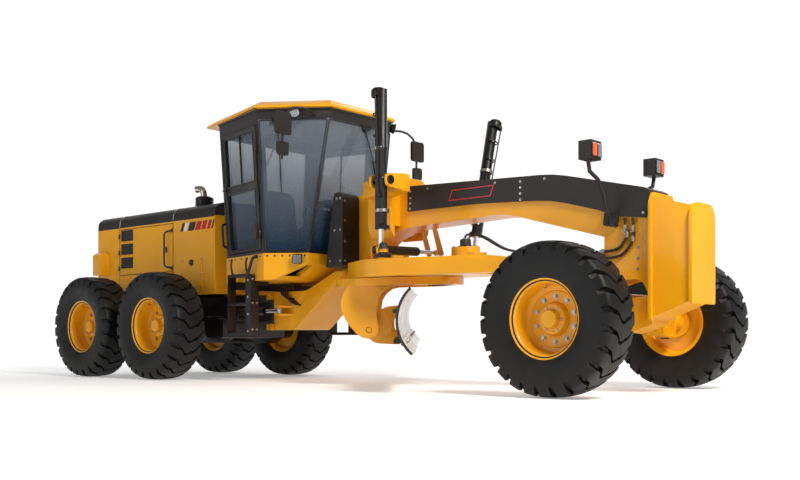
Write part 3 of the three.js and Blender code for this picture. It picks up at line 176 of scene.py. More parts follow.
@dataclass
class Surface:
    """One mesh grown from numpy surfaces.

    Args:
        points: Blocks of points.
        faces: Blocks of face indices.
        slots: Material slot of each face block.
    """

    points: list[Array] = field(default_factory=list)
    faces: list[Array] = field(default_factory=list)
    slots: list[int] = field(default_factory=list)
    count: int = 0

    def grid(self, points: Array, wrap: bool = True, slot: int = 0) -> "Surface":
        """Add one or many grids of quads.

        Formula: quad (i, j) joins points (i, j), (i+1, j), (i+1, j+1) and (i, j+1).

        Args:
            points: An (m, n, 3) or (k, m, n, 3) array.
            wrap: Whether the last column joins the first.
            slot: The material slot.

        Returns:
            This surface.
        """
        p = points if points.ndim == 4 else points[None]
        k, m, n = p.shape[:3]
        i, j = np.meshgrid(np.arange(m - 1), np.arange(n if wrap else n - 1), indexing="ij")
        right = (j + 1) % n
        quad = np.stack([i * n + j, (i + 1) * n + j, (i + 1) * n + right, i * n + right], -1).reshape(-1, 4)
        quads = (quad[None] + (np.arange(k) * m * n)[:, None, None]).reshape(-1, 4)
        return self.block(p.reshape(-1, 3), quads, slot)

    def block(self, points: Array, faces: Array, slot: int = 0) -> "Surface":
        """Add points with faces that index them, and return this surface."""
        self.points.append(points)
        self.faces.append(faces + self.count)
        self.slots.append(slot)
        self.count += len(points)
        return self

    def tube(self, path: Array, radius: float | Array, sides: int = 12, slot: int = 0) -> "Surface":
        """Carry a circle along a path and close its ends.

        Formula: P(s, a) = C(s) + r(s) (cos a N + sin a B), with B the path's thinnest direction
        made square to the tangent and N = B x T.

        Args:
            path: The (n, 3) centre line.
            radius: One radius, or one for each point.
            sides: Sides of the circle.
            slot: The material slot.

        Returns:
            This surface.
        """
        c = np.asarray(path, float)
        t = unit(np.gradient(c, axis=0))
        up = np.linalg.svd(c - c.mean(0), full_matrices=True)[2][2]
        b = unit(up - (t @ up)[:, None] * t)
        n = np.cross(b, t)
        a = np.linspace(0, 2 * np.pi, sides, endpoint=False)
        r = np.broadcast_to(radius, len(c))[:, None, None]
        rings = c[:, None] + r * (np.cos(a)[None, :, None] * n[:, None] + np.sin(a)[None, :, None] * b[:, None])
        ends = [np.broadcast_to(c[k], (1, sides, 3)) for k in (0, -1)]
        return self.grid(np.concatenate([ends[0], rings, ends[1]]), slot=slot)

    def turned(
        self, profile: Array, centre: Array, axis: Array, steps: int = 48, slot: int = 0, closed: bool = False
    ) -> "Surface":
        """Turn a profile about an axis.

        Formula: P(s, a) = C + z(s) A + r(s) (cos a U + sin a V), with U and V square to A.

        Args:
            profile: (k, 2) pairs of distance along the axis and radius.
            centre: The point where the distance is 0.
            axis: The axis direction.
            steps: Steps round the axis.
            slot: The material slot.
            closed: Whether the profile is a closed loop.

        Returns:
            This surface.
        """
        p = np.asarray(profile, float)
        p = np.vstack([p, p[:1]]) if closed else p
        w = unit(np.asarray(axis, float))
        u = unit(np.cross(w, (0.31, 0.21, 0.93) if abs(w[2]) < 0.9 else (1.0, 0.0, 0.0)))
        v = np.cross(w, u)
        a = np.linspace(0, 2 * np.pi, steps, endpoint=False)
        ring = np.cos(a)[:, None] * u + np.sin(a)[:, None] * v
        return self.grid(np.asarray(centre) + p[:, None, :1] * w + p[:, None, 1:] * ring[None], slot=slot)

    def plate(
        self, outline: Array, centre: Array, across: Array, up: Array, depth: float, bevel: float, slot: int = 0
    ) -> "Surface":
        """Raise a flat outline into a plate with chamfered edges.

        Formula: four copies of the outline, at depths 0, b, d-b and d, the first and last
        drawn in by b along the outline's own normals, then closed by a face at each end.

        Args:
            outline: (n, 2) points.
            centre: Where the outline's origin lies.
            across: Direction of its first axis.
            up: Direction of its second axis.
            depth: Thickness, towards across x up.
            bevel: Chamfer size.
            slot: The material slot.

        Returns:
            This surface.
        """
        p = np.asarray(outline, float)
        edge = unit(np.roll(p, -1, 0) - np.roll(p, 1, 0))
        turn = np.sign(np.sum(p[:, 0] * np.roll(p[:, 1], -1) - np.roll(p[:, 0], -1) * p[:, 1]))
        inward = np.stack([-edge[:, 1], edge[:, 0]], -1) * turn
        x, y = unit(np.asarray(across, float)), unit(np.asarray(up, float))
        z = np.cross(x, y)
        draw = np.array([bevel, 0, 0, bevel])[:, None, None]
        high = np.array([0, bevel, depth - bevel, depth])[:, None, None]
        flat = p[None] + draw * inward[None]
        points = np.asarray(centre) + flat[..., :1] * x + flat[..., 1:] * y + high * z
        n = len(p)
        self.grid(points, slot=slot)
        first = self.count - 4 * n
        for ring in (first, first + 3 * n):
            self.faces.append(np.arange(n)[None] + ring)
            self.slots.append(slot)
        return self

    def box(self, low: Array, high: Array, bevel: float = 0.004, slot: int = 0) -> "Surface":
        """Add a block with chamfered edges between two corners, and return this surface."""
        lo, hi = np.asarray(low, float), np.asarray(high, float)
        w, d = hi[0] - lo[0], hi[1] - lo[1]
        corners = rounded(np.array([(0, 0), (w, 0), (w, d), (0, d)]), bevel * 1.5, 3)
        return self.plate(corners, lo, (1, 0, 0), (0, 1, 0), hi[2] - lo[2], bevel, slot)

    def bolts(self, centres: Array, axis: Array, radius: float = 0.011, slot: int = 0) -> "Surface":
        """Add a hexagon head on a washer at each centre.

        Formula: rings of 12 points, round for the washer, and for the head with every second
        point drawn in by cos 30 degrees.

        Args:
            centres: (n, 3) places on the surface they clamp.
            axis: Direction that the heads face.
            radius: Radius across the head's corners.
            slot: The material slot.

        Returns:
            This surface.
        """
        w = unit(np.asarray(axis, float))
        u = unit(np.cross(w, (0.31, 0.21, 0.93) if abs(w[2]) < 0.9 else (1.0, 0.0, 0.0)))
        v = np.cross(w, u)
        a = np.linspace(0, 2 * np.pi, 12, endpoint=False)
        hexagon = np.where(np.arange(12) % 2, np.cos(np.pi / 6), 1.0)
        steps = [(0, 0, 0), (1.45, -0.1, 0), (1.45, 0.2, 0), (1, 0.2, 1), (1, 0.75, 1), (0.86, 0.9, 0), (0, 0.9, 0)]
        rings = [
            (radius * r * np.where(h, hexagon, 1.0))[:, None] * (np.cos(a)[:, None] * u + np.sin(a)[:, None] * v)
            + radius * z * w
            for r, z, h in steps
        ]
        return self.grid(np.asarray(centres, float).reshape(-1, 1, 1, 3) + np.stack(rings)[None], slot=slot)

    def piece(
        self, name: str, node: str, *finishes: "Finish", stands_for: tuple[str, ...] = (), angle: float = SMOOTH_ANGLE
    ) -> bpy.types.Object:
        """Make the Blender object, dressed and riding on its body.

        Args:
            name: The piece's name.
            node: A CAD node of the body that it moves with.
            finishes: The finish of each slot.
            stands_for: CAD nodes that it replaces.
            angle: Edges sharper than this stay sharp.

        Returns:
            The object.
        """
        mesh = bpy.data.meshes.new(name)
        faces = [face for block in self.faces for face in block.tolist()]
        mesh.from_pydata(np.concatenate(self.points), [], faces)
        slots = np.concatenate([np.full(len(f), s, np.int32) for f, s in zip(self.faces, self.slots)])
        mesh.polygons.foreach_set("material_index", slots)
        close(mesh)
        return present(name, mesh, node, finishes, stands_for, angle)


def close(mesh: bpy.types.Mesh, tolerance: float = 2e-6) -> None:
    """Merge a mesh's doubles, drop its flat faces and turn its faces outwards."""
    work = bmesh.new()
    work.from_mesh(mesh)
    bmesh.ops.remove_doubles(work, verts=work.verts, dist=tolerance)
    bmesh.ops.dissolve_degenerate(work, dist=1e-7, edges=work.edges)
    bmesh.ops.recalc_face_normals(work, faces=work.faces)
    work.to_mesh(mesh)
    work.free()


def present(
    name: str, mesh: bpy.types.Mesh, node: str, finishes: tuple["Finish", ...],
    stands_for: tuple[str, ...] = (), angle: float = SMOOTH_ANGLE,
) -> bpy.types.Object:
    """Link a mesh as a finished piece.

    Args:
        name: The piece's name.
        mesh: Its mesh, with its place in its points.
        node: A CAD node of the body that it moves with.
        finishes: The finish of each material slot.
        stands_for: CAD nodes that it replaces.
        angle: Edges sharper than this stay sharp.

    Returns:
        The object.
    """
    slots = np.zeros(len(mesh.polygons), np.int32)
    mesh.polygons.foreach_get("material_index", slots)
    mesh.materials.clear()
    for finish in finishes:
        mesh.materials.append(finish.material())
    mesh.polygons.foreach_set("material_index", slots)
    mesh.shade_smooth()
    mesh.set_sharp_from_angle(angle=angle)
    made = bpy.data.objects.new(name, mesh)
    bpy.context.scene.collection.objects.link(made)
    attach(made, bpy.data.objects[node]["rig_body"])
    if stands_for:
        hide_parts(*stands_for)
    LOG.info("%s: %d faces, moves with %s", name, len(mesh.polygons), node)
    return made


def softened(node: str, finish: "Finish", bevel: float = 0.004, name: str = "") -> bpy.types.Object:
    """Stand a copy of a CAD node in its place, with its edges rounded off.

    Args:
        node: The CAD node's name.
        finish: Its finish.
        bevel: Width of the rounding in metres.
        name: The piece's name, or nothing for the node's with _skin.

    Returns:
        The piece.
    """
    mesh = bpy.data.objects[node].data.copy()
    work = bmesh.new()
    work.from_mesh(mesh)
    bmesh.ops.remove_doubles(work, verts=work.verts, dist=2e-5)
    bmesh.ops.dissolve_limit(work, angle_limit=np.radians(0.7), verts=work.verts, edges=work.edges)
    bmesh.ops.triangulate(work, faces=[face for face in work.faces if len(face.verts) > 8])
    work.to_mesh(mesh)
    work.free()
    mesh.polygons.foreach_set("material_index", np.zeros(len(mesh.polygons), np.int32))
    made = present(name or f"{node}_skin", mesh, node, (finish,), (node,))
    if bevel:
        rounding = made.modifiers.new("rounding", "BEVEL")
        rounding.width = bevel
        rounding.segments = 2
        rounding.limit_method = "ANGLE"
        rounding.angle_limit = np.radians(32.0)
        rounding.harden_normals = True
        rounding.miter_outer = "MITER_ARC"
    return made
Links = dict[str | int, "bpy.types.NodeSocket | bpy.types.Node"]


def add(
    tree: bpy.types.NodeTree, kind: str, settings: dict[str | int, object] | None = None, links: Links | None = None
) -> bpy.types.Node:
    """Add a shader node with its settings and links.

    Args:
        tree: The node tree.
        kind: The node's type, without the ShaderNode in front.
        settings: Attributes by name, and input values by input name or number.
        links: What feeds each input, by its name or number: a socket, or a node for its output in use.

    Returns:
        The node.
    """
    made = tree.nodes.new(f"ShaderNode{kind}")
    for key, value in (settings or {}).items():
        if isinstance(key, str) and hasattr(made, key):
            setattr(made, key, value)
        else:
            made.inputs[key].default_value = value
    for key, source in (links or {}).items():
        if isinstance(source, bpy.types.Node):
            source = next(output for output in source.outputs if output.enabled)
        tree.links.new(source, made.inputs[key])
    return made


@dataclass(frozen=True)
class Finish:
    """A surface finish.

    Args:
        name: The material's name.
        slot: The record's material slot, or nothing; not used here.
    """

    name: str
    slot: str

    def material(self) -> bpy.types.Material:
        """Return the finish's material, made the first time it is asked for."""
        found = bpy.data.materials.get(self.name)
        if found:
            return found
        made = bpy.data.materials.new(self.name)
        made.use_nodes = True
        tree = made.node_tree
        tree.nodes.clear()
        settings, links = self.wire(tree, add(tree, "TexCoord").outputs["Object"])
        shader = add(tree, "BsdfPrincipled", settings, links)
        add(tree, "OutputMaterial", None, {"Surface": shader})
        return made

    def wire(self, tree: bpy.types.NodeTree, place: bpy.types.NodeSocket) -> tuple[dict[str, object], Links]:
        """Add the nodes of the finish's pattern.

        Args:
            tree: The node tree.
            place: Object coordinates.

        Returns:
            The Principled shader's settings, and what feeds its other inputs.
        """
        raise NotImplementedError


@dataclass(frozen=True)
class Coating(Finish):
    """Paint, rubber, plastic or bare cast metal: cloudy colour, uneven gloss and a fine grain.

    Args:
        colour: Main sRGB colour.
        second: Colour of the clouds.
        cloud_mm: Size of the clouds.
        gloss: Lowest and highest roughness.
        grain_mm: Size of the grain.
        grain_height_mm: Height of the grain.
        metallic: 1 for bare metal.
        coat: Clear coat weight.
        dust: Colour of the dust low down, or nothing.
        dust_top: Height at which the dust ends, in metres.
        shine: Strength of the plain reflection; 0.5 is the usual one.
    """

    colour: str
    second: str
    cloud_mm: float
    gloss: tuple[float, float]
    grain_mm: float
    grain_height_mm: float
    metallic: float = 0.0
    coat: float = 0.0
    dust: str = ""
    dust_top: float = 1.2
    shine: float = 0.5

    def wire(self, tree: bpy.types.NodeTree, place: bpy.types.NodeSocket) -> tuple[dict[str, object], Links]:
        """Add clouds, gloss, grain and dust; see Finish.wire."""
        clouds = add(tree, "TexNoise", {"Scale": 1000.0 / self.cloud_mm, "Detail": 4.0}, {"Vector": place})
        share = add(tree, "MapRange", {"From Min": 0.35, "From Max": 0.68}, {"Value": clouds})
        pair = {"data_type": "RGBA", 6: linear(self.colour), 7: linear(self.second)}
        colour = add(tree, "Mix", pair, {0: share})
        if self.dust:
            height = add(tree, "SeparateXYZ", None, {"Vector": place}).outputs["Z"]
            fall = {"From Min": 0.1, "From Max": self.dust_top, "To Min": 0.5, "To Max": 0.0}
            low = add(tree, "MapRange", fall, {"Value": height})
            film = add(tree, "Math", {"operation": "MULTIPLY"}, {0: low, 1: share})
            dusty = {"data_type": "RGBA", 7: linear(self.dust)}
            colour = add(tree, "Mix", dusty, {0: film, 6: colour})
        spread = {"From Min": 0.3, "From Max": 0.7, "To Min": self.gloss[0], "To Max": self.gloss[1]}
        gloss = add(tree, "MapRange", spread, {"Value": clouds})
        grain = add(tree, "TexNoise", {"Scale": 1000.0 / self.grain_mm, "Detail": 2.0}, {"Vector": place})
        relief = {"Strength": 0.6, "Distance": self.grain_height_mm / 1000.0}
        bump = add(tree, "Bump", relief, {"Height": grain})
        settings = {"Metallic": self.metallic, "Coat Weight": self.coat, "Coat Roughness": 0.08}
        settings["Specular IOR Level"] = self.shine
        return settings, {"Base Color": colour, "Roughness": gloss, "Normal": bump}


@dataclass(frozen=True)
class Brushed(Finish):
    """Steel rubbed along one direction by soil or a polishing belt.

    Args:
        colour: The metal's colour.
        stain: Colour of the stains.
        along: Metres that a scratch runs along X, Y and Z.
        gloss: Lowest and highest roughness.
        metallic: 1 for bare metal, less under a dull film.
    """

    colour: str
    stain: str
    along: tuple[float, float, float]
    gloss: tuple[float, float]
    metallic: float = 1.0

    def wire(self, tree: bpy.types.NodeTree, place: bpy.types.NodeSocket) -> tuple[dict[str, object], Links]:
        """Add long thin scratches and broad stains; see Finish.wire."""
        stretched = add(tree, "Mapping", {"Scale": tuple(1.0 / a for a in self.along)}, {"Vector": place})
        scratch = add(tree, "TexNoise", {"Scale": 1.0, "Detail": 6.0}, {"Vector": stretched})
        stains = add(tree, "TexNoise", {"Scale": 4.0, "Detail": 5.0}, {"Vector": place})
        share = add(tree, "MapRange", {"From Min": 0.45, "From Max": 0.75}, {"Value": stains})
        pair = {"data_type": "RGBA", 6: linear(self.colour), 7: linear(self.stain)}
        colour = add(tree, "Mix", pair, {0: share})
        spread = {"From Min": 0.3, "From Max": 0.7, "To Min": self.gloss[0], "To Max": self.gloss[1]}
        gloss = add(tree, "MapRange", spread, {"Value": scratch})
        bump = add(tree, "Bump", {"Strength": 0.3, "Distance": 0.0006}, {"Height": scratch})
        return {"Metallic": self.metallic}, {"Base Color": colour, "Roughness": gloss, "Normal": bump}


@dataclass(frozen=True)
class TintedGlass(Finish):
    """Blue-tinted safety glass, lighter and greyer towards the top where a painted reflection lightens it, seen part
    through and part reflecting.

    Args:
        top: Colour at the top edge, the tint lightened by painted reflection.
        foot: Colour at the bottom edge.
        heights: Heights of the bottom and top edges, in metres.
        clear: How much light passes at the bottom and the top.
    """

    top: str
    foot: str
    heights: tuple[float, float]
    clear: tuple[float, float]

    def wire(self, tree: bpy.types.NodeTree, place: bpy.types.NodeSocket) -> tuple[dict[str, object], Links]:
        """Add the colour by height, the tint lightened upwards by painted reflection, a faint waviness and the
        see-through share; see Finish.wire.
        """
        height = add(tree, "SeparateXYZ", None, {"Vector": place}).outputs["Z"]
        edges = {"From Min": self.heights[0], "From Max": self.heights[1]}
        rise = add(tree, "MapRange", edges, {"Value": height})
        pair = {"data_type": "RGBA", 6: linear(self.foot), 7: linear(self.top)}
        # Deep blue at the foot to grey-blue at the top: the glass's tint with a painted reflection that grows upwards.
        tint_and_painted_reflection = add(tree, "Mix", pair, {0: rise})
        opaque = {"To Min": 1.0 - self.clear[0], "To Max": 1.0 - self.clear[1]}
        solid = add(tree, "MapRange", opaque, {"Value": rise})
        waves = add(tree, "TexNoise", {"Scale": 1.6, "Detail": 1.0}, {"Vector": place})
        bump = add(tree, "Bump", {"Strength": 0.2, "Distance": 0.004}, {"Height": waves})
        return {"Roughness": 0.03, "Specular IOR Level": 0.6}, {"Base Color": tint_and_painted_reflection, "Alpha": solid, "Normal": bump}


class Pattern(enum.Enum):
    """A raised pattern pressed or woven into a surface."""

    RIBS = "ribs"
    WEAVE = "weave"
    MESH = "mesh"


@dataclass(frozen=True)
class Patterned(Finish):
    """Cloth, lens or wire mesh: a regular pattern across two directions.

    Args:
        colour: Main colour.
        second: Colour of the pattern's low places.
        pattern: Which pattern.
        pitch_mm: Distance between its lines.
        height_mm: Height of its relief.
        roughness: Roughness.
        metallic: 1 for a silvered back.
        sheen: Cloth sheen.
        coat: Clear cover.
    """

    colour: str
    second: str
    pattern: Pattern
    pitch_mm: float
    height_mm: float
    roughness: float
    metallic: float = 0.0
    sheen: float = 0.0
    coat: float = 0.0

    def wire(self, tree: bpy.types.NodeTree, place: bpy.types.NodeSocket) -> tuple[dict[str, object], Links]:
        """Add two crossed waves, or one for ribs; see Finish.wire.

        A wave of scale s repeats s * 20 / (2 pi) times a metre.
        """
        scale = 2 * np.pi / 20.0 * 1000.0 / self.pitch_mm
        ribs = self.pattern is Pattern.RIBS
        mixing = {"operation": "MAXIMUM" if self.pattern is Pattern.MESH else "MULTIPLY"}
        banded = {"bands_direction": "Y" if ribs else "X", "Scale": scale}
        relief = add(tree, "TexWave", banded, {"Vector": place}).outputs["Fac"]
        for direction in () if ribs else ("Y", "Z"):
            banded = {"bands_direction": direction, "Scale": scale}
            other = add(tree, "TexWave", banded, {"Vector": place}).outputs["Fac"]
            relief = add(tree, "Math", mixing, {0: relief, 1: other})
        pair = {"data_type": "RGBA", 6: linear(self.second), 7: linear(self.colour)}
        colour = add(tree, "Mix", pair, {0: relief})
        depth = {"Strength": 0.8, "Distance": self.height_mm / 1000.0}
        bump = add(tree, "Bump", depth, {"Height": relief})
        settings = {"Roughness": self.roughness, "Metallic": self.metallic, "Sheen Weight": self.sheen}
        settings["Coat Weight"] = self.coat
        return settings, {"Base Color": colour, "Normal": bump}


# Two-pack machine enamel, sprayed: a deep warm yellow with a wet coat and faint orange peel.
YELLOW = Coating(
    "polyurethane_enamel_yellow", "yellow_paint", "#E8A411", "#E29B0B", 900.0, (0.32, 0.42), 14.0, 0.10,
    coat=0.2, dust="#B8873C", dust_top=0.8, shine=0.35,
)
# Textured powder coat, baked: dark warm grey with a dull, finely pebbled face.
CHARCOAL = Coating(
    "textured_powder_coat_charcoal", "charcoal_paint", "#211F1D", "#292624", 300.0, (0.42, 0.55), 9.0, 0.35, shine=0.35,
)
# Gloss machine enamel in black, for guards, steps and the undercarriage.
BLACK = Coating(
    "machine_enamel_black", "charcoal_paint", "#0E0D0D", "#161514", 260.0, (0.30, 0.45), 12.0, 0.15,
    dust="#3A322C", dust_top=1.0, shine=0.4,
)
# Natural rubber compound, moulded: near black, dull on the sides and a little dusty.
RUBBER = Coating(
    "carbon_black_rubber_moulded", "tyre_rubber", "#0A0A0A", "#111111", 120.0, (0.42, 0.62), 16.0, 0.5,
    dust="#25221E", dust_top=0.7, shine=0.3,
)
# Extruded nitrile hose: black with a soft shine.
HOSE = Coating("nitrile_rubber_hose", "tyre_rubber", "#101010", "#191919", 60.0, (0.35, 0.5), 8.0, 0.3)
# Cast steel under thin dark paint: rough sand-cast skin.
CAST = Coating(
    "cast_steel_sand_cast", "cast_steel", "#1B1A19", "#2A2724", 200.0, (0.5, 0.7), 10.0, 0.8,
    dust="#4A4038", dust_top=1.1,
)
# Electroplated zinc on fasteners and hose ends: pale grey metal with a faint yellow cast.
ZINC = Coating(
    "zinc_plated_steel", "plated_rod", "#B9B6AC", "#9B978C", 40.0, (0.28, 0.45), 5.0, 0.1, metallic=1.0
)
# Hard chrome plate, ground and polished: a bright mirror with hardly any grain.
CHROME = Brushed("hard_chrome_plate", "plated_rod", "#E2E3E4", "#C9CBCD", (0.02, 0.02, 0.3), (0.07, 0.14))
# Boron steel blade face, scoured by soil along its length: pale grey, long scratches.
BLADE = Brushed("boron_steel_scoured", "blade_steel", "#D5D1CA", "#9C958B", (0.6, 0.6, 0.02), (0.3, 0.5), 0.85)
# Tinted laminated safety glass: grey-blue above, lightened by a painted reflection, and deep blue towards the sill.
GLASS = TintedGlass("laminated_glass_tinted", "tinted_glass", "#7D8894", "#0C2A42", (1.55, 2.95), (0.30, 0.66))
# Silvered mirror glass: a clear bright reflection.
MIRROR = Brushed("silvered_mirror_glass", "plated_rod", "#C9C6C2", "#BDB9B4", (0.5, 0.5, 0.5), (0.02, 0.05))
# Woven polyester seat cloth: matt charcoal with a soft sheen; drawn at 6 mm so that it shows.
CLOTH = Patterned(
    "woven_polyester_seat_cloth", "seat_cloth", "#33343A", "#1C1D22", Pattern.WEAVE, 6.0, 0.6, 0.92, sheen=0.3
)
# Injection-moulded ABS with a leather grain: dark grey and dull.
PLASTIC = Coating(
    "moulded_abs_dark_grey", "console_plastic", "#26272A", "#303135", 150.0, (0.5, 0.62), 4.0, 0.25
)
# Moulded polycarbonate lens over a silvered bowl: bright, with upright flutes 12 mm apart.
LENS = Patterned(
    "polycarbonate_lens_clear", "plated_rod", "#B4B8BC", "#6E7378", Pattern.RIBS, 12.0, 1.2, 0.12,
    metallic=0.6, coat=0.5,
)
# Moulded amber acrylic lens: orange, wet-looking, with the same flutes.
AMBER = Patterned(
    "acrylic_lens_amber", "console_plastic", "#F0641A", "#C2420C", Pattern.RIBS, 12.0, 1.2, 0.12, coat=1.0
)
# Moulded red acrylic lens for the tail lamps.
RED_LENS = Patterned(
    "acrylic_lens_red", "console_plastic", "#B3161A", "#7C0D10", Pattern.RIBS, 12.0, 1.2, 0.12, coat=1.0
)
# Calendered vinyl film, red: a plain stripe with an even satin face.
RED_FILM = Coating("vinyl_film_red", "charcoal_paint", "#B4222A", "#A81E26", 400.0, (0.25, 0.32), 30.0, 0.05)
# Calendered vinyl film, pale grey.
PALE_FILM = Coating("vinyl_film_pale_grey", "plated_rod", "#D9D8D4", "#CFCECA", 400.0, (0.3, 0.38), 30.0, 0.05)
# Black woven wire mesh behind the louvres and the rear grille: holes 14 mm apart.
MESH = Patterned("woven_wire_mesh_black", "charcoal_paint", "#3B3836", "#0B0B0B", Pattern.MESH, 14.0, 2.0, 0.55)
# Polished stainless tail pipe: bright, slightly warm.
STAINLESS = Brushed("stainless_steel_polished", "plated_rod", "#D8D2CA", "#B7AB9D", (0.05, 0.05, 0.05), (0.1, 0.2))


def middle(node: str) -> Array:
    """Return the middle of a CAD node's box."""
    low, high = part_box(node)
    return (np.array(low) + np.array(high)) / 2


@dataclass
class Wheel:
    """A tyre with an angled block tread on a dished steel rim.

    Args:
        label: The wheel's place, such as left_front.
        outward: 1 where the dish opens to +Y, -1 where it opens to -Y.
        disc: Distance of the disc from the wheel's middle, outwards.
        pitches: Tread blocks round the tyre.
        groove: Depth of the tread grooves.
        nuts: Number of wheel nuts.
    """

    label: str
    outward: float
    disc: float
    pitches: int = 25
    groove: float = 0.036
    nuts: int = 10

    def section(self) -> tuple[Array, Array]:
        """Work out the tyre's section.

        Returns:
            The outer contour from bead to bead and the liner back again, as (n, 2) pairs of
            lateral place and radius.
        """
        half = [
            (0.166, 0.322), (0.178, 0.342), (0.186, 0.360), (0.198, 0.388), (0.209, 0.422), (0.217, 0.462),
            (0.2215, 0.505), (0.2215, 0.548), (0.2185, 0.588), (0.213, 0.620), (0.203, 0.646), (0.184, 0.660),
            (0.150, 0.6665), (0.105, 0.671), (0.055, 0.674), (0.0, 0.675),
        ]  # fmt: skip
        path = spline(np.array([(a, r, 0.0) for a, r in half]), 12)
        length = np.concatenate([[0], np.cumsum(np.linalg.norm(np.diff(path, axis=0), axis=1))])
        even = np.linspace(0, length[-1], 34)
        side = np.stack([np.interp(even, length, path[:, k]) for k in (0, 1)], -1)
        outer = np.vstack([side, (side * (-1, 1))[-2::-1]])
        liner = [(-0.13, 0.33), (-0.175, 0.38), (-0.19, 0.47), (-0.18, 0.56), (-0.13, 0.61), (0, 0.62)]
        inner = np.array(liner + [(-a, r) for a, r in liner[-2::-1]])
        return outer, inner

    def tyre(self) -> None:
        """Build the tyre.

        Formula: P(q, s) = section(s) - d(s) g(q) normal(s), turned by 2 pi (k + q + skew(s)) / n,
        where skew = 0.36 cos(pi t) + 0.07 sin(3 pi t) over the tread's half widths t, and g is 1 in
        the groove and 0 on the block.
        """
        outer, inner = self.section()
        slope = unit(np.gradient(outer, axis=0))
        normal = np.stack([slope[:, 1], -slope[:, 0]], -1)
        normal *= np.sign(normal[:, 1:] * 1e-6 + normal[:, :1] * outer[:, :1] + normal[:, 1:] * 0.5)
        ridge = sum(0.003 * np.exp(-(((outer[:, 1] - r) / 0.005) ** 2)) for r in (0.405, 0.585))
        outer = outer + ridge[:, None] * normal
        t = np.clip(outer[:, 0] / 0.2, -1, 1)
        deep = self.groove * np.clip((outer[:, 1] - 0.575) / 0.055, 0, 1) ** 0.8
        share = 0.17 + 0.16 * np.abs(t) ** 1.6
        skew = 0.36 * np.cos(np.pi * t) + 0.07 * np.sin(3 * np.pi * t)
        q = np.stack(
            [0 * share, 0 * share + 0.035, share - 0.035, share]
            + [share + (1 - share) * part for part in (0.25, 0.5, 0.75)]
        )
        dig = np.array([0, 1, 1, 0, 0, 0, 0.0])[:, None] * deep[None]
        section = outer[None] - dig[..., None] * normal[None]
        rest = len(inner)
        q = np.hstack([q, np.repeat(q[:, -1:], rest, 1)])
        skew = np.concatenate([skew, np.full(rest, skew[-1])])
        section = np.concatenate([section, np.broadcast_to(inner, (7, rest, 2))], 1)
        turn = 2 * np.pi / self.pitches * (np.arange(self.pitches)[:, None, None] + q[None] + skew)
        a = np.broadcast_to(section[..., 0], turn.shape)
        r = np.broadcast_to(section[..., 1], turn.shape)
        ring = np.stack([r * np.sin(turn), a * self.outward, r * np.cos(turn)], -1)
        rows = ring.reshape(-1, ring.shape[2], 3)
        rows = np.concatenate([rows, rows[:1]])
        node = f"tyre_{self.label}"
        Surface().grid(middle(node) + rows).piece(
            f"{node}_tread", node, RUBBER, stands_for=(node,), angle=np.radians(30)
        )

    def rim(self) -> None:
        """Build the rim, its hub and its nuts, as profiles turned about the axle."""
        d = self.disc
        profile = [
            (d, 0.0), (d, 0.292), (d - 0.01, 0.300), (-0.150, 0.300), (-0.172, 0.330), (-0.180, 0.344),
            (-0.178, 0.354), (-0.168, 0.357), (-0.160, 0.348), (-0.150, 0.318), (0.150, 0.318), (0.160, 0.348),
            (0.167, 0.357), (0.174, 0.359), (0.180, 0.354), (0.181, 0.344), (0.176, 0.335), (0.163, 0.328),
            (0.157, 0.318), (0.150, 0.310), (0.130, 0.305), (0.060, 0.302), (d + 0.055, 0.300),
            (d + 0.034, 0.292), (d + 0.024, 0.276), (d + 0.022, 0.250), (d + 0.030, 0.243), (d + 0.030, 0.158),
            (d + 0.034, 0.150), (d + 0.075, 0.134), (d + 0.086, 0.128), (d + 0.090, 0.118), (d + 0.090, 0.092),
            (d + 0.095, 0.086), (d + 0.136, 0.080), (d + 0.146, 0.072), (d + 0.148, 0.0),
        ]  # fmt: skip
        node = f"rim_{self.label}"
        axis = np.array((0.0, self.outward, 0.0))
        hub = middle(f"tyre_{self.label}")
        shell = Surface().turned(np.array(profile), hub, axis, 96)
        a = np.linspace(0, 2 * np.pi, self.nuts, endpoint=False) + 0.3
        face = hub + axis * (d + 0.030)
        ring = face + 0.198 * np.stack([np.cos(a), 0 * a, np.sin(a)], -1)
        small = np.linspace(0, 2 * np.pi, 6, endpoint=False)
        cap = hub + axis * (d + 0.090) + 0.105 * np.stack([np.cos(small), 0 * small, np.sin(small)], -1)
        shell.piece(f"{node}_dish", node, YELLOW, stands_for=(node,))
        Surface().bolts(ring, axis, 0.0185).bolts(cap, axis, 0.009).piece(f"{node}_nuts", node, ZINC)
        stem = hub + axis * 0.12 + np.array((0.0, 0.0, 0.296))
        bend = bent(np.array([stem, stem + (0, 0, -0.03), stem + axis * 0.05 + (0, 0, -0.036)]), 0.015)
        Surface().tube(bend, 0.006, 8).piece(f"{node}_valve", node, ZINC)

    def build(self) -> None:
        """Build the tyre and the rim."""
        self.tyre()
        self.rim()


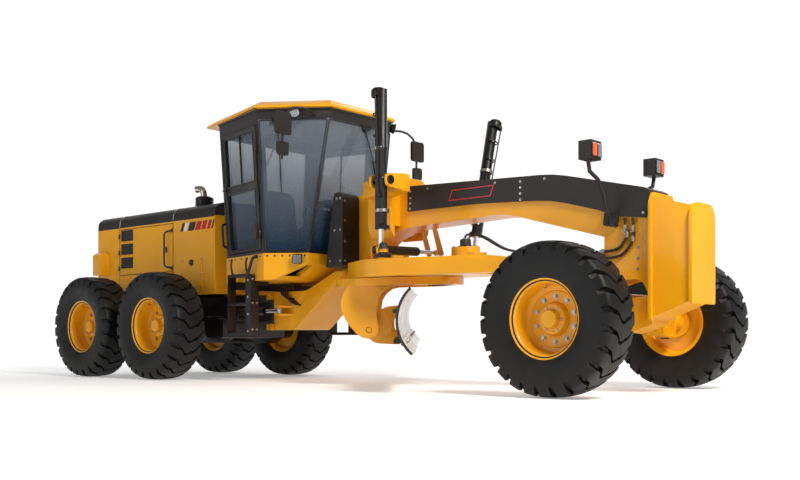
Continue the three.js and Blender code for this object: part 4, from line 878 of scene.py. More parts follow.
@dataclass
class Studio:
    """Pale floor, soft lights and the camera.

    Args:
        eye: The camera's place.
        azimuth: Its direction in degrees, 0 along +Y and 90 along -X.
        lens: Focal length over a 36 mm sensor, in mm.
        rise: Vertical shift, in image widths.
        sky: Strength of the sky all round, and of its bright patch behind the machine.
    """

    eye: tuple[float, float, float] = (8.388, -8.449, 0.499)
    azimuth: float = 41.525
    lens: float = 44.625
    rise: float = 0.1246
    sky: tuple[float, float] = (0.24, 1.05)

    def camera(self) -> None:
        """Make the scene's camera, level and turned by the azimuth."""
        data = bpy.data.cameras.new("camera")
        data.sensor_width, data.lens, data.shift_y = 36.0, self.lens, self.rise
        data.clip_start, data.clip_end = 0.1, 200.0
        made = bpy.data.objects.new("camera", data)
        made.location = self.eye
        made.rotation_euler = (np.radians(90.0), 0.0, np.radians(self.azimuth))
        bpy.context.scene.collection.objects.link(made)
        bpy.context.scene.camera = made

    def light(self, name: str, place: Array, size: float, power: float, colour: str = "#FFFFFF") -> None:
        """Hang a square soft light that faces the machine's middle.

        Args:
            name: Its name.
            place: Its place.
            size: Its side in metres.
            power: Its power in watts.
            colour: Its colour.
        """
        data = bpy.data.lights.new(name, "AREA")
        data.shape, data.size, data.energy, data.color = "SQUARE", size, power, linear(colour)[:3]
        made = bpy.data.objects.new(name, data)
        made.location = place
        made.rotation_euler = (Vector((0, 0, 1.2)) - Vector(place)).to_track_quat("-Z", "Y").to_euler()
        bpy.context.scene.collection.objects.link(made)

    def surroundings(self) -> None:
        """Lay a pale floor and a pale even sky."""
        floor = Surface()
        edge = 90.0
        corners = np.array([[(-edge, -edge, 0.0), (edge, -edge, 0.0)], [(-edge, edge, 0.0), (edge, edge, 0.0)]])
        floor.grid(corners - (0.0, 0.0, 0.001), wrap=False)
        mesh = bpy.data.meshes.new("floor")
        mesh.from_pydata(np.concatenate(floor.points), [], [f for b in floor.faces for f in b.tolist()])
        mesh.materials.append(FLOOR.material())
        made = bpy.data.objects.new("floor", mesh)
        bpy.context.scene.collection.objects.link(made)
        world = bpy.data.worlds.new("pale_sky")
        world.use_nodes = True
        tree = world.node_tree
        way = add(tree, "TexCoord").outputs["Generated"]
        aim = {"operation": "DOT_PRODUCT", 1: (-0.663, 0.749, 0.0)}
        facing = add(tree, "VectorMath", aim, {0: way}).outputs["Value"]
        patch = {"From Min": 0.45, "From Max": 0.75, "To Min": self.sky[0], "To Max": self.sky[1]}
        glow = add(tree, "MapRange", patch, {"Value": facing})
        tree.links.new(glow.outputs["Result"], tree.nodes["Background"].inputs["Strength"])
        tree.nodes["Background"].inputs["Color"].default_value = linear("#FFFFFF")
        bpy.context.scene.world = world

    def build(self) -> None:
        """Make the camera, the lights and the surroundings."""
        self.camera()
        self.surroundings()
        self.light("key", (10.0, -3.0, 8.0), 2.5, 1250.0, "#FFFAF0")
        self.light("fill", (-4.0, -11.0, 5.0), 7.0, 210.0, "#F4F7FF")
        self.light("back", (-3.0, 9.0, 8.0), 7.0, 300.0)
        view = bpy.context.scene.view_settings
        view.view_transform = "Standard"


@dataclass(frozen=True)
class Cove(Coating):
    """A pale floor that brightens away from the machine, as an infinity cove does.

    Args:
        spread: Distances in metres between which the glow grows.
        glow: Its full strength.
    """

    spread: tuple[float, float] = (5.0, 14.0)
    glow: float = 0.8

    def wire(self, tree: bpy.types.NodeTree, place: bpy.types.NodeSocket) -> tuple[dict[str, object], Links]:
        """Add the coating, then a glow by the distance from the middle; see Finish.wire."""
        settings, links = super().wire(tree, place)
        reach = add(tree, "VectorMath", {"operation": "LENGTH"}, {0: place}).outputs["Value"]
        near, far = self.spread
        growth = {"From Min": near, "From Max": far, "To Min": 0.35 * self.glow, "To Max": self.glow}
        rise = add(tree, "MapRange", growth, {"Value": reach})
        return {**settings, "Emission Color": linear("#FFFFFF")}, {**links, "Emission Strength": rise}


# Painted plaster floor: an even, pale, matt face.
FLOOR = Cove("matt_plaster_pale", "", "#F4F4F4", "#F1F1F1", 3000.0, (0.8, 0.9), 60.0, 0.1)
def span(first: tuple[float, float, float], second: tuple[float, float, float]) -> tuple[Array, Array]:
    """Return the low and high corner of the box between two places in millimetres."""
    corners = at(first, second)
    return corners.min(0), corners.max(0)


def sides() -> tuple[tuple[str, float], tuple[str, float]]:
    """Name both sides with the sign of their Y."""
    return (("left", 1.0), ("right", -1.0))


def oblong(w: float, h: float, radius: float = 0.0, steps: int = 6) -> Array:
    """Draw a rectangle about the origin.

    Args:
        w: Half its width.
        h: Half its height.
        radius: Radius of its corners, or 0 for sharp ones.
        steps: Points in each rounded corner.

    Returns:
        Its outline, one point to a row.
    """
    corners = np.array([(-w, -h), (w, -h), (w, h), (-w, h)])
    return rounded(corners, radius, steps) if radius else corners


def circled(centre: Array, across: Array, up: Array, radius: float, count: int, start: float = 0.0) -> Array:
    """Space places evenly round a circle.

    Formula: P = centre + radius (across cos a + up sin a), with a = start + 2 pi k / count.

    Args:
        centre: The circle's middle.
        across: Its first direction.
        up: Its second direction.
        radius: Its radius.
        count: How many places.
        start: Angle of the first one in radians.

    Returns:
        The places, one to a row.
    """
    a = start + np.linspace(0, 2 * np.pi, count, endpoint=False)
    return np.asarray(centre) + radius * (np.outer(np.cos(a), across) + np.outer(np.sin(a), up))


@dataclass
class EngineHousing:
    """Louvres, handles, stripes, lamps and grille of the engine housing, and its exhaust.

    Args:
        face: Distance of the housing's sides from the middle, in mm.
        louvres: Foot and top of each louvred panel, in mm.
        pitch: Distance between two slats, in mm.
        door_foot: Height of the doors' lower edge, in mm.
        door_top: Height of their upper edge, in mm.
    """

    face: float = 600.0
    louvres: tuple[tuple[float, float], ...] = ((1502.0, 1642.0), (1692.0, 1832.0), (1882.0, 2022.0))
    pitch: float = 23.0
    door_foot: float = 1405.0
    door_top: float = 2040.0

    def door(self, label: str, s: float) -> None:
        """Hang the louvres, a loop handle and a latch on one door.

        Args:
            label: Left or right.
            s: Sign of the side's Y.
        """
        body, y = f"hood_door_{label}", s * self.face
        screens, slats, trim = Surface(), Surface(), Surface()
        for foot, top in self.louvres:
            screens.box(*span((-862, y, foot), (-598, y + s * 3, top)), 0.001)
            for low, high in (
                ((-867, foot - 5), (-593, foot)), ((-867, top), (-593, top + 5)), ((-867, foot), (-862, top)),
                ((-598, foot), (-593, top)),
            ):
                trim.box(*span((low[0], y, low[1]), (high[0], y + s * 11, high[1])), 0.0015)
            tilt = unit(np.array((0.0, s * 0.62, -0.78)))
            blade = np.array([(-0.132, 0.0), (0.132, 0.0), (0.132, 0.015), (-0.132, 0.015)])
            for z in np.arange(foot + self.pitch * 0.7, top, self.pitch):
                slats.plate(blade, at((-730, y + s * 2, z))[0], (1, 0, 0), tilt, 0.0025, 0.0006)
        screens.piece(f"hood_screens_{label}", body, MESH)
        slats.piece(f"hood_slats_{label}", body, CHARCOAL)
        # Thin dark strips round the door's four edges: a painted shadow line where the door's edge meets the housing.
        for x in (-915, 331):
            trim.box(*span((x, y, self.door_foot), (x + 4, y + s * 2, self.door_top)), 0.0008)
        for z in (self.door_foot, self.door_top - 4):
            trim.box(*span((-911, y, z), (331, y + s * 2, z + 4)), 0.0008)
        loop = bent(at((318, y, 1950), (225, y + s * 62, 1930), (225, y + s * 62, 1470), (318, y, 1450)), 0.06, 7)
        trim.tube(loop, 0.012, 12)
        foot_ring = [(0, 0), (0, 0.024), (0.006, 0.026), (0.01, 0.022), (0.01, 0)]
        for end in (loop[0], loop[-1]):
            trim.turned(foot_ring, end, (0, s, 0), 20)
        trim.box(*span((150, y, 1660), (205, y + s * 16, 1740)), 0.005)
        trim.piece(f"hood_door_trim_{label}", body, CHARCOAL)
        out = y + s * 16
        latch = Surface()
        cylinder = [(0, 0), (0, 0.015), (0.004, 0.016), (0.006, 0.013), (0.006, 0)]
        latch.turned(cylinder, at((178, out, 1700))[0], (0, s, 0), 20)
        latch.bolts(at((162, out, 1672), (192, out, 1672), (162, out, 1729), (192, out, 1729)), (0, s, 0), 0.005)
        latch.piece(f"hood_latch_{label}", body, ZINC)
        pins = Surface()
        knuckle = [(-0.035, 0), (-0.035, 0.009), (-0.032, 0.011), (0.032, 0.011), (0.035, 0.009), (0.035, 0)]
        for z in (1500, 1720, 1950):
            pins.turned(knuckle, at((-918, y + s * 7, z))[0], (0, 0, 1), 20)
        pins.piece(f"hood_hinges_{label}", body, CHARCOAL)

    def stripe(self, label: str, s: float) -> None:
        """Lay a plain slanted stripe and the filler hatch on one side.

        Args:
            label: Left or right.
            s: Sign of the side's Y.
        """
        body, y = "hood", s * self.face
        across = np.array((-s, 0.0, 0.0))
        film = Surface()
        for x, width, slot in (
            (560, 50, 2), (640, 70, 1), (760, 130, 2), (900, 110, 0), (1020, 90, 0), (1125, 60, 0), (1200, 30, 2),
        ):
            shape = oblong(width / 2000.0, 0.055)
            shape[:, 0] += 0.024 * -s * np.array((-1, -1, 1, 1))
            film.plate(shape, at((x - 10, y, 1972))[0], across, (0, 0, 1), 0.0015, 0.0004, slot)
        film.piece(f"hood_stripe_{label}", body, RED_FILM, PALE_FILM, CHARCOAL)
        hatch = Surface()
        outline = oblong(0.225, 0.2, 0.05, 7)
        hatch.plate(outline, at((755, y, 1358))[0], across, (0, 0, 1), 0.007, 0.003)
        hatch.plate(outline * 0.82 - (0, 0.01), at((755, y + s * 7, 1358))[0], across, (0, 0, 1), 0.004, 0.003)
        hatch.piece(f"filler_hatch_{label}", body, YELLOW)
        corners = at(*((x, y + s * 7, z) for x in (552, 958) for z in (1182, 1358, 1534)))
        Surface().bolts(corners, (0, s, 0), 0.009).piece(f"filler_bolts_{label}", body, ZINC)
        lid = [(0, 0), (0, 0.040), (0.014, 0.040), (0.018, 0.036), (0.018, 0.024), (0.024, 0.020), (0.024, 0)]
        cap = Surface().turned(np.array(lid), at((755, y + s * 9, 1500))[0], (0, s, 0), 32)
        cap.piece(f"filler_cap_{label}", body, PLASTIC)

    def lamps(self) -> None:
        """Fill the rear lamp boxes and put a mesh behind the rear grille's slots."""
        body = "hood"
        lens, rims = Surface(), Surface()
        bowl = np.array([(0, 0.0), (0, 0.052), (0.006, 0.052), (0.014, 0.042), (0.018, 0.02), (0.019, 0.0)])
        ring = np.array([(0, 0.052), (0, 0.062), (0.012, 0.062), (0.016, 0.057), (0.012, 0.052)])
        for _, s in sides():
            for slot, z in enumerate((1630, 1490)):
                centre = at((-1385, s * 672, z))[0]
                lens.turned(bowl, centre, (-1, 0, 0), 40, slot)
                rims.turned(ring, centre, (-1, 0, 0), 40, closed=True)
        lens.piece("tail_lamp_lenses", body, RED_LENS, AMBER)
        rims.piece("tail_lamp_rims", body, CHARCOAL)
        Surface().box(*span((-1442, -428, 1240), (-1436, 428, 1925)), 0.001).piece(
            "rear_screen", "rear_frame", MESH
        )
        heads = at(*((-1478, y, z) for y in (-465, 465) for z in (1100, 1290, 1480, 1670, 1860, 1990)))
        Surface().bolts(heads, (-1, 0, 0), 0.010).piece("rear_grille_bolts", "rear_frame", ZINC)
        hooks = Surface()
        for _, s in sides():
            corners = ((-1615, s * 330, 985), (-1618, s * 330, 870), (-1618, s * 250, 870), (-1615, s * 250, 985))
            loop = bent(at(*corners), 0.03)
            hooks.tube(loop, 0.013, 12)
        hooks.piece("rear_tow_loops", "rear_frame", BLACK)

    def crown(self) -> None:
        """Lay the pale joint strips over the crown and its panel lines."""
        strips = Surface()
        bow = ((-599, 2084), (-592, 2175), (-512, 2250), (512, 2250), (592, 2175), (599, 2084))
        for x in (-920, 340):
            strips.tube(bent(at(*((x, y, z) for y, z in bow)), 0.05), 0.0035, 8)
        strips.piece("crown_strips", "hood_top", PALE_FILM)
        seams = Surface()
        for _, s in sides():
            for x in (-921, 342):
                seams.box(*span((x - 2, s * 600, 1100 if x > 0 else 1180), (x + 2, s * 601.5, 2078)), 0.0006)
            seams.box(*span((-1470, s * 600, 2066), (1220, s * 603, 2079)), 0.001)
        seams.piece("hood_seams", "hood", CHARCOAL)

    def exhaust(self) -> None:
        """Build the banded canister and the swept stainless tail pipe in place of the CAD ones."""
        canister = [(0, 0), (0, 0.121), (0.02, 0.121)]
        for z in (0.030, 0.062, 0.094):
            canister += [(z - 0.004, 0.117), (z, 0.121), (z + 0.012, 0.121), (z + 0.016, 0.117)]
        canister += [(0.118, 0.120), (0.128, 0.112), (0.138, 0.094), (0.138, 0.0)]
        foot = at((660, -330, 2250.3))[0]
        Surface().turned(np.array(canister), foot, (0, 0, 1), 48).piece(
            "exhaust_canister", "exhaust_pipe", BLACK, stands_for=("exhaust_pipe",)
        )
        route = at((650, -330, 2380), (650, -330, 2420), (635, -330, 2470), (580, -330, 2500), (508, -330, 2506))
        path = spline(route, 6)
        radius = np.full(len(path), 0.047)
        pipe = Surface().tube(path, radius, 28)
        end = path[-1]
        pipe.turned([(0, 0.034), (0.004, 0.048), (-0.012, 0.049), (-0.014, 0.047)], end, (-1, 0, 0), 28, closed=True)
        pipe.turned([(0, 0.047), (0, 0.055), (0.012, 0.055), (0.014, 0.047)], path[1], (0, 0, 1), 28, closed=True)
        pipe.piece("exhaust_tail", "exhaust_pipe", STAINLESS)
        Surface().turned([(0.0042, 0), (0.0042, 0.036), (0.0048, 0.036), (0.0048, 0)], end, (-1, 0, 0), 28).piece(
            "exhaust_mouth", "exhaust_pipe", HOSE
        )

    def build(self) -> None:
        """Build both sides, the lamps, the crown and the exhaust."""
        for label, s in sides():
            self.door(label, s)
            self.stripe(label, s)
        self.lamps()
        self.crown()
        self.exhaust()


@dataclass
class Boom:
    """Stripes, bolts, lamps and hoses of the front frame.

    Args:
        cover: Distance of the cover's sides from the middle, in mm.
        post: Distance of the post's sides from the middle, in mm.
    """

    cover: float = 196.3
    post: float = 170.0

    def covering(self) -> None:
        """Lay the red-edged field and the bolts on both sides of the cover."""
        body = "boom_cover"
        film, heads = Surface(), Surface()
        for _, s in sides():
            across = np.array((-s, 0.0, 0.0))
            centre = at((4990, s * self.cover, 2032))[0]
            slant = -s * 0.022 * np.array((-1, -1, 1, 1))
            for slot, (w, h, out) in enumerate(((0.276, 0.058, 0.0), (0.262, 0.046, 0.0013))):
                shape = oblong(w, h)
                shape[:, 0] += slant * h / 0.058
                film.plate(shape, centre + (0, s * out, 0), across, (0, 0, 1), 0.0015, 0.0004, slot)
            row = [(5613, z) for z in (1905, 1965, 2025, 2085)]
            row += [(4150, z) for z in (1940, 2000, 2060, 2130)]
            row += [(x, 2150 - (x - 4110) * 0.037) for x in (4400, 5300, 5900)]
            row += [(6967, 1660)]
            heads.bolts(at(*((x, s * self.cover, z) for x, z in row)), (0, s, 0), 0.010)
        film.piece("boom_stripe", body, RED_FILM, CHARCOAL)
        heads.piece("boom_cover_bolts", body, ZINC)
        frame = Surface()
        for _, s in sides():
            frame.bolts(at(*((6900, s * self.post, z) for z in (1150, 1250, 1350))), (0, s, 0), 0.011)
        frame.piece("front_block_bolts", "front_frame", ZINC)

    def lamps(self) -> None:
        """Face both front lamp heads with an amber and a clear lens."""
        body = "boom_cover"
        lens, rims = Surface(), Surface()
        for _, s in sides():
            across = np.array((0.0, 1.0, 0.0))
            for slot, (y0, y1) in enumerate(((528, 606), (614, 692))):
                outline = oblong((y1 - y0) / 2000.0, 0.068, 0.018)
                centre = at((6720, s * (y0 + y1) / 2, 2205))[0]
                rims.plate(outline * 1.04, centre, across, (0, 0, 1), 0.010, 0.003)
                lens.plate(outline * 0.9, centre + (0.010, 0, 0), across, (0, 0, 1), 0.009, 0.005, slot)
            heads = ((6595, 1590), (6690, 1575), (6600, 1670), (6690, 1650))
            rims.bolts(at(*((x, s * 240.5, z) for x, z in heads)), (0, s, 0), 0.009)
        lens.piece("front_lamp_lenses", body, LENS, AMBER)
        rims.piece("front_lamp_rims", body, CHARCOAL)

    def hoses(self) -> None:
        """Run the steering hoses down the post."""
        body = "front_frame"
        hose, ends = Surface(), Surface()
        collar = [(0, 0), (0, 0.017), (0.012, 0.017), (0.014, 0.021), (0.034, 0.021), (0.036, 0.017),
                  (0.052, 0.016), (0.052, 0)]
        for _, s in sides():
            y = s * (self.post + 24)
            for (x0, z0), (x1, z1), (x2, z2) in (
                ((6778, 1628), (6806, 1470), (6548, 1326)), ((6860, 1621), (6866, 1430), (6556, 1262)),
            ):
                path = at(
                    (x0, y, z0), (x0 + 8, y, (z0 + z1) / 2), (x1, y, z1), (x1 - 60, y, z1 - 95),
                    ((x1 + x2) / 2, y, z2 + 12), (x2, y, z2),
                )
                hose.tube(spline(path, 8), 0.0135, 14)
                ends.turned(collar, at((x0 + 5, y, z0 - 66))[0], (0, 0, -1), 18)
                ends.turned(collar, at((x1 - 2, y, z1 + 26))[0], (0, 0, -1), 18)
                ends.box(*span((x0 - 20, s * self.post, z0 - 132), (x0 + 28, y + s * 20, z0 - 120)), 0.003)
                ends.turned(collar, at((x2 - 30, y, z2))[0], (1, 0, 0), 18)
            ends.box(*span((6560, s * self.post, 1230), (6530, s * (self.post + 40), 1350)), 0.004)
        hose.piece("post_hoses", body, HOSE)
        ends.piece("post_hose_ends", body, ZINC)

    def hitch(self) -> None:
        """Hang the valve block and its hoses between the cab floor and the hitch."""
        body = "front_frame"
        Surface().box(*span((2130, -270, 1086), (2330, -120, 1168)), 0.006).box(
            *span((2160, -292, 1100), (2300, -270, 1150)), 0.004
        ).piece("hitch_valve_block", body, CAST)
        hose, ends = Surface(), Surface()
        for k, x in enumerate((2165, 2205, 2245, 2285)):
            start = (x, -292, 1125)
            path = at(start, (x + 5, -330, 1118), (x + 45, -352, 1060 - 20 * k), (x + 130, -330, 1010 - 25 * k),
                      (x + 215, -300, 990 - 25 * k))
            hose.tube(spline(path, 8), 0.011, 12)
            ferrule = [(0, 0), (0, 0.015), (0.022, 0.015), (0.022, 0)]
            ends.turned(ferrule, at(start)[0] + (0, 0.006, 0), (0, -1, 0), 12)
        hose.piece("hitch_hoses", body, HOSE)
        ends.piece("hitch_hose_ends", body, ZINC)
        heads = circled(at((1750, 0, 1085))[0], (1, 0, 0), (0, 1, 0), 0.110, 6)
        Surface().bolts(heads, (0, 0, 1), 0.014).piece("hitch_cap_bolts", body, ZINC)

    def build(self) -> None:
        """Build the cover's trim, the lamps and the hoses."""
        self.covering()
        self.lamps()
        self.hoses()
        self.hitch()


def turning(axis: tuple[float, float, float], degrees: float) -> Array:
    """Return the rotation about an axis, as rows that hold the turned X, Y and Z directions."""
    w, a = unit(np.array(axis, float)), np.radians(degrees)
    skew = np.array([(0, -w[2], w[1]), (w[2], 0, -w[0]), (-w[1], w[0], 0)])
    return (np.eye(3) + np.sin(a) * skew + (1 - np.cos(a)) * skew @ skew).T


@dataclass(frozen=True)
class Frame:
    """A moved and turned set of axes, for parts that lie at an angle.

    Args:
        origin: Its origin, in millimetres from the tandem's middle.
        axes: Its X, Y and Z directions, one to a row.
    """

    origin: tuple[float, float, float]
    axes: Array

    def at(self, *points: tuple[float, float, float]) -> Array:
        """Turn local places in millimetres into frame metres."""
        return at(*(np.array(self.origin) + np.array(points, float) @ self.axes))

    def metres(self, points: Array) -> Array:
        """Turn local places in metres, of any shape (..., 3), into frame metres."""
        return at(self.origin)[0] + points @ self.axes

    def way(self, x: float, y: float, z: float) -> Array:
        """Turn a local direction into the frame's."""
        return np.array((x, y, z)) @ self.axes

    def inner(self, place: tuple[float, float, float], axes: Array) -> "Frame":
        """Return a frame that sits at a local place with its own further turn."""
        origin = np.array(self.origin) + np.array(place, float) @ self.axes
        return Frame(tuple(origin), axes @ self.axes)


DRAWBAR = Frame((6230.0, 0.0, 1220.0), turning((1, 0, 0), 2.3) @ turning((0, 0, 1), 2.2))
TURNTABLE = DRAWBAR.inner((-2330.0, 0.0, 0.0), turning((0, 0, 1), 37.5))


@dataclass
class BladeGear:
    """Moldboard, cutting edge, circle teeth and ball caps.

    Args:
        length: The blade's length in mm.
        middle: Height of the blade's middle in the turntable's axes, in mm.
        back: X of the back's foremost line, in mm.
        radius: Radius of the back's arc, in mm.
        wall: Thickness of the sheet, in mm.
    """

    length: float = 4270.0
    middle: float = -490.0
    back: float = 15.0
    radius: float = 430.0
    wall: float = 26.0

    def arc(self, radius: float, low: float, high: float, steps: int = 22) -> Array:
        """Draw part of the blade's arc.

        Formula: x = back + R - r cos a, z = middle + r sin a, with a from asin(low / R) to asin(high / R).

        Args:
            radius: The arc's own radius r in mm.
            low: Height of its foot above the middle, in mm.
            high: Height of its top, in mm.
            steps: Its points.

        Returns:
            (steps, 2) places in millimetres.
        """
        a = np.linspace(np.arcsin(low / self.radius), np.arcsin(high / self.radius), steps)
        return np.stack([self.back + self.radius - radius * np.cos(a), self.middle + radius * np.sin(a)], -1)

    @staticmethod
    def strip(line: Array, ys: Array) -> Array:
        """Carry an outline along the blade: an (outline, ys, 3) grid in metres from (x, z) and y in mm."""
        x, y = np.broadcast_arrays(line[:, None, 0], ys[None])
        return TURNTABLE.metres(np.stack([x, y, np.broadcast_to(line[:, None, 1], y.shape)], -1) / 1000.0)

    def sweep(self, mesh: Surface, outer: Array, inner: Array, half: float, slots: tuple[int, int]) -> None:
        """Carry a strip between two arcs along the blade, with its four edges closed; the two end caps go in slot 2,
        painted dark as shade on the sheet's cut ends.

        Args:
            mesh: The surface it is added to.
            outer: The back's points.
            inner: The face's points.
            half: Half its length in mm.
            slots: Slots of the back and of the face.
        """
        ys = np.linspace(-half, half, 25)
        mesh.grid(self.strip(outer, ys), wrap=False, slot=slots[0])
        mesh.grid(self.strip(inner, ys), wrap=False, slot=slots[1])
        for k in (0, -1):
            mesh.grid(self.strip(np.stack([outer[k], inner[k]]), ys), wrap=False, slot=slots[0])
        # The end caps take slot 2, a dark finish: painted shade on the sheet's cut ends.
        for y in (-half, half):
            caps = [self.strip(line, np.array([y]))[:, 0] for line in (outer, inner)]
            mesh.grid(np.stack(caps), wrap=False, slot=2)

    def moldboard(self) -> None:
        """Build the rolled sheet, its slide rails, its edge and end plates and their bolts."""
        body, half = "moldboard", self.length / 2
        board = Surface()
        back = self.arc(self.radius, -315, 315)
        face = self.arc(self.radius - self.wall, -315, 315)
        self.sweep(board, back, face, half - 4, (0, 1))
        for z in (-395.0, -700.0):
            foot = self.back + self.radius - np.sqrt(self.radius**2 - (z - self.middle) ** 2)
            w, d = (foot + 54) / 1000.0, 2.5
            outline = rounded(np.array([(0, 0), (w, 0), (w, d), (0, d)]), 0.004, 3)
            place = TURNTABLE.at((-40, -1250, z - 22))[0]
            board.plate(outline, place, TURNTABLE.way(1, 0, 0), TURNTABLE.way(0, 1, 0), 0.044, 0.003, 2)
        # Slot 2 is cast steel for the slide rails, and it also paints the sheet's end caps dark as painted shade.
        board.piece("moldboard_sheet", body, YELLOW, BLADE, CAST, stands_for=("moldboard",), angle=np.radians(30))
        edge = Surface()
        outer = self.arc(self.radius - self.wall - 0.5, -322, -165, 8)
        inner = self.arc(self.radius - self.wall - 18, -322, -165, 8)
        loop = np.vstack([outer, inner[::-1]])
        for centre in (-half / 2, half / 2):
            ys = centre + np.array([-half / 2 + 6, half / 2 - 3])
            for line in (outer, inner):
                edge.grid(self.strip(line, ys), wrap=False)
            for ring in np.swapaxes(self.strip(loop, ys), 0, 1):
                edge.block(ring, np.arange(len(loop))[None])
            for k in (0, -1):
                quad = self.strip(np.stack([outer[k], inner[k]]), ys).reshape(4, 3)
                edge.block(quad[[0, 1, 3, 2]], np.arange(4)[None])
        edge.piece("cutting_edges", body, BLADE)
        slope = np.arcsin(-215 / self.radius)
        c, t = np.cos(slope), np.sin(slope)
        ys = np.linspace(-half + 90, half - 90, 28)
        for name, reach, way in (("edge_bolts", self.radius - self.wall - 18, 1), ("edge_nuts", self.radius, -1)):
            x, z = self.back + self.radius - reach * c, self.middle + reach * t
            heads = TURNTABLE.at(*((x, y, z) for y in ys))
            Surface().bolts(heads, TURNTABLE.way(way * c, 0, -way * t), 0.014).piece(name, body, ZINC)

    def teeth(self, count: int = 72) -> None:
        """Cut the ring of teeth inside the circle.

        Formula: the inner radius is 0.607 - 0.024 c(a), with c a rounded square wave of the given count.

        Args:
            count: Teeth round the circle.
        """
        a = np.linspace(0, 2 * np.pi, count * 8, endpoint=False)
        wave = np.clip(np.sin(a * count) * 1.9, -1, 1) * 0.5 + 0.5
        inner, outer = 0.607 - 0.024 * wave, np.full(len(a), 0.6105)
        rings = [
            np.stack([r * np.cos(a), r * np.sin(a), np.full(len(a), z)], -1)
            for r, z in ((outer, -0.116), (inner, -0.116), (inner, -0.040), (outer, -0.040), (outer, -0.116))
        ]
        Surface().grid(TURNTABLE.metres(np.stack(rings))).piece(
            "circle_teeth", "blade_circle", CAST, angle=np.radians(25)
        )

    def drawbar(self) -> None:
        """Put the ball caps, the circle drive's motor and bolts, and the hoses on the drawbar."""
        body = "drawbar"
        caps, heads, hose, ends = Surface(), Surface(), Surface(), Surface()
        x, y, up = DRAWBAR.axes
        cap = [(-0.052, 0.0), (-0.052, 0.078), (-0.046, 0.084), (-0.018, 0.084), (-0.014, 0.078), (-0.010, 0.060),
               (0.004, 0.050), (0.008, 0.046), (0.008, 0.036), (-0.030, 0.0)]
        for _, s in sides():
            ball = DRAWBAR.at((-1895, s * 790, 215))[0]
            caps.turned(cap, ball, up, 40)
            heads.bolts(circled(ball - 0.017 * up, x, y, 0.071, 6), up, 0.0085)
        caps.piece("lift_ball_caps", body, BLACK)
        drum = DRAWBAR.at((-1370, -60, 262))[0]
        heads.bolts(circled(drum, x, y, 0.128, 8), up, 0.012)
        motor = [(0.0, 0), (0.0, 0.072), (0.014, 0.074), (0.018, 0.060), (0.075, 0.058), (0.085, 0.050), (0.088, 0.0)]
        Surface().turned(motor, drum, up, 40).piece("circle_drive_motor", body, CAST)
        heads.piece("drawbar_bolts", body, ZINC)
        for k, y in enumerate((-20, 20)):
            path = DRAWBAR.at((-1370 + k * 25, -60 + y, 345), (-1330, y * 2 - 30, 392), (-1180, y * 1.5, 360),
                              (-900, y, 215), (-620, y, 172), (-300, y, 168), (-150, y, 150))
            hose.tube(spline(path, 8), 0.0115, 12)
            ends.turned([(0, 0), (0, 0.017), (0.028, 0.017), (0.028, 0)], path[0] - (0, 0, 0.012), (0, 0, 1), 14)
        hose.piece("drive_hoses", body, HOSE)
        ends.piece("drive_hose_ends", body, ZINC)

    def build(self) -> None:
        """Build the blade, the teeth and the drawbar's fittings."""
        self.moldboard()
        self.teeth()
        self.drawbar()


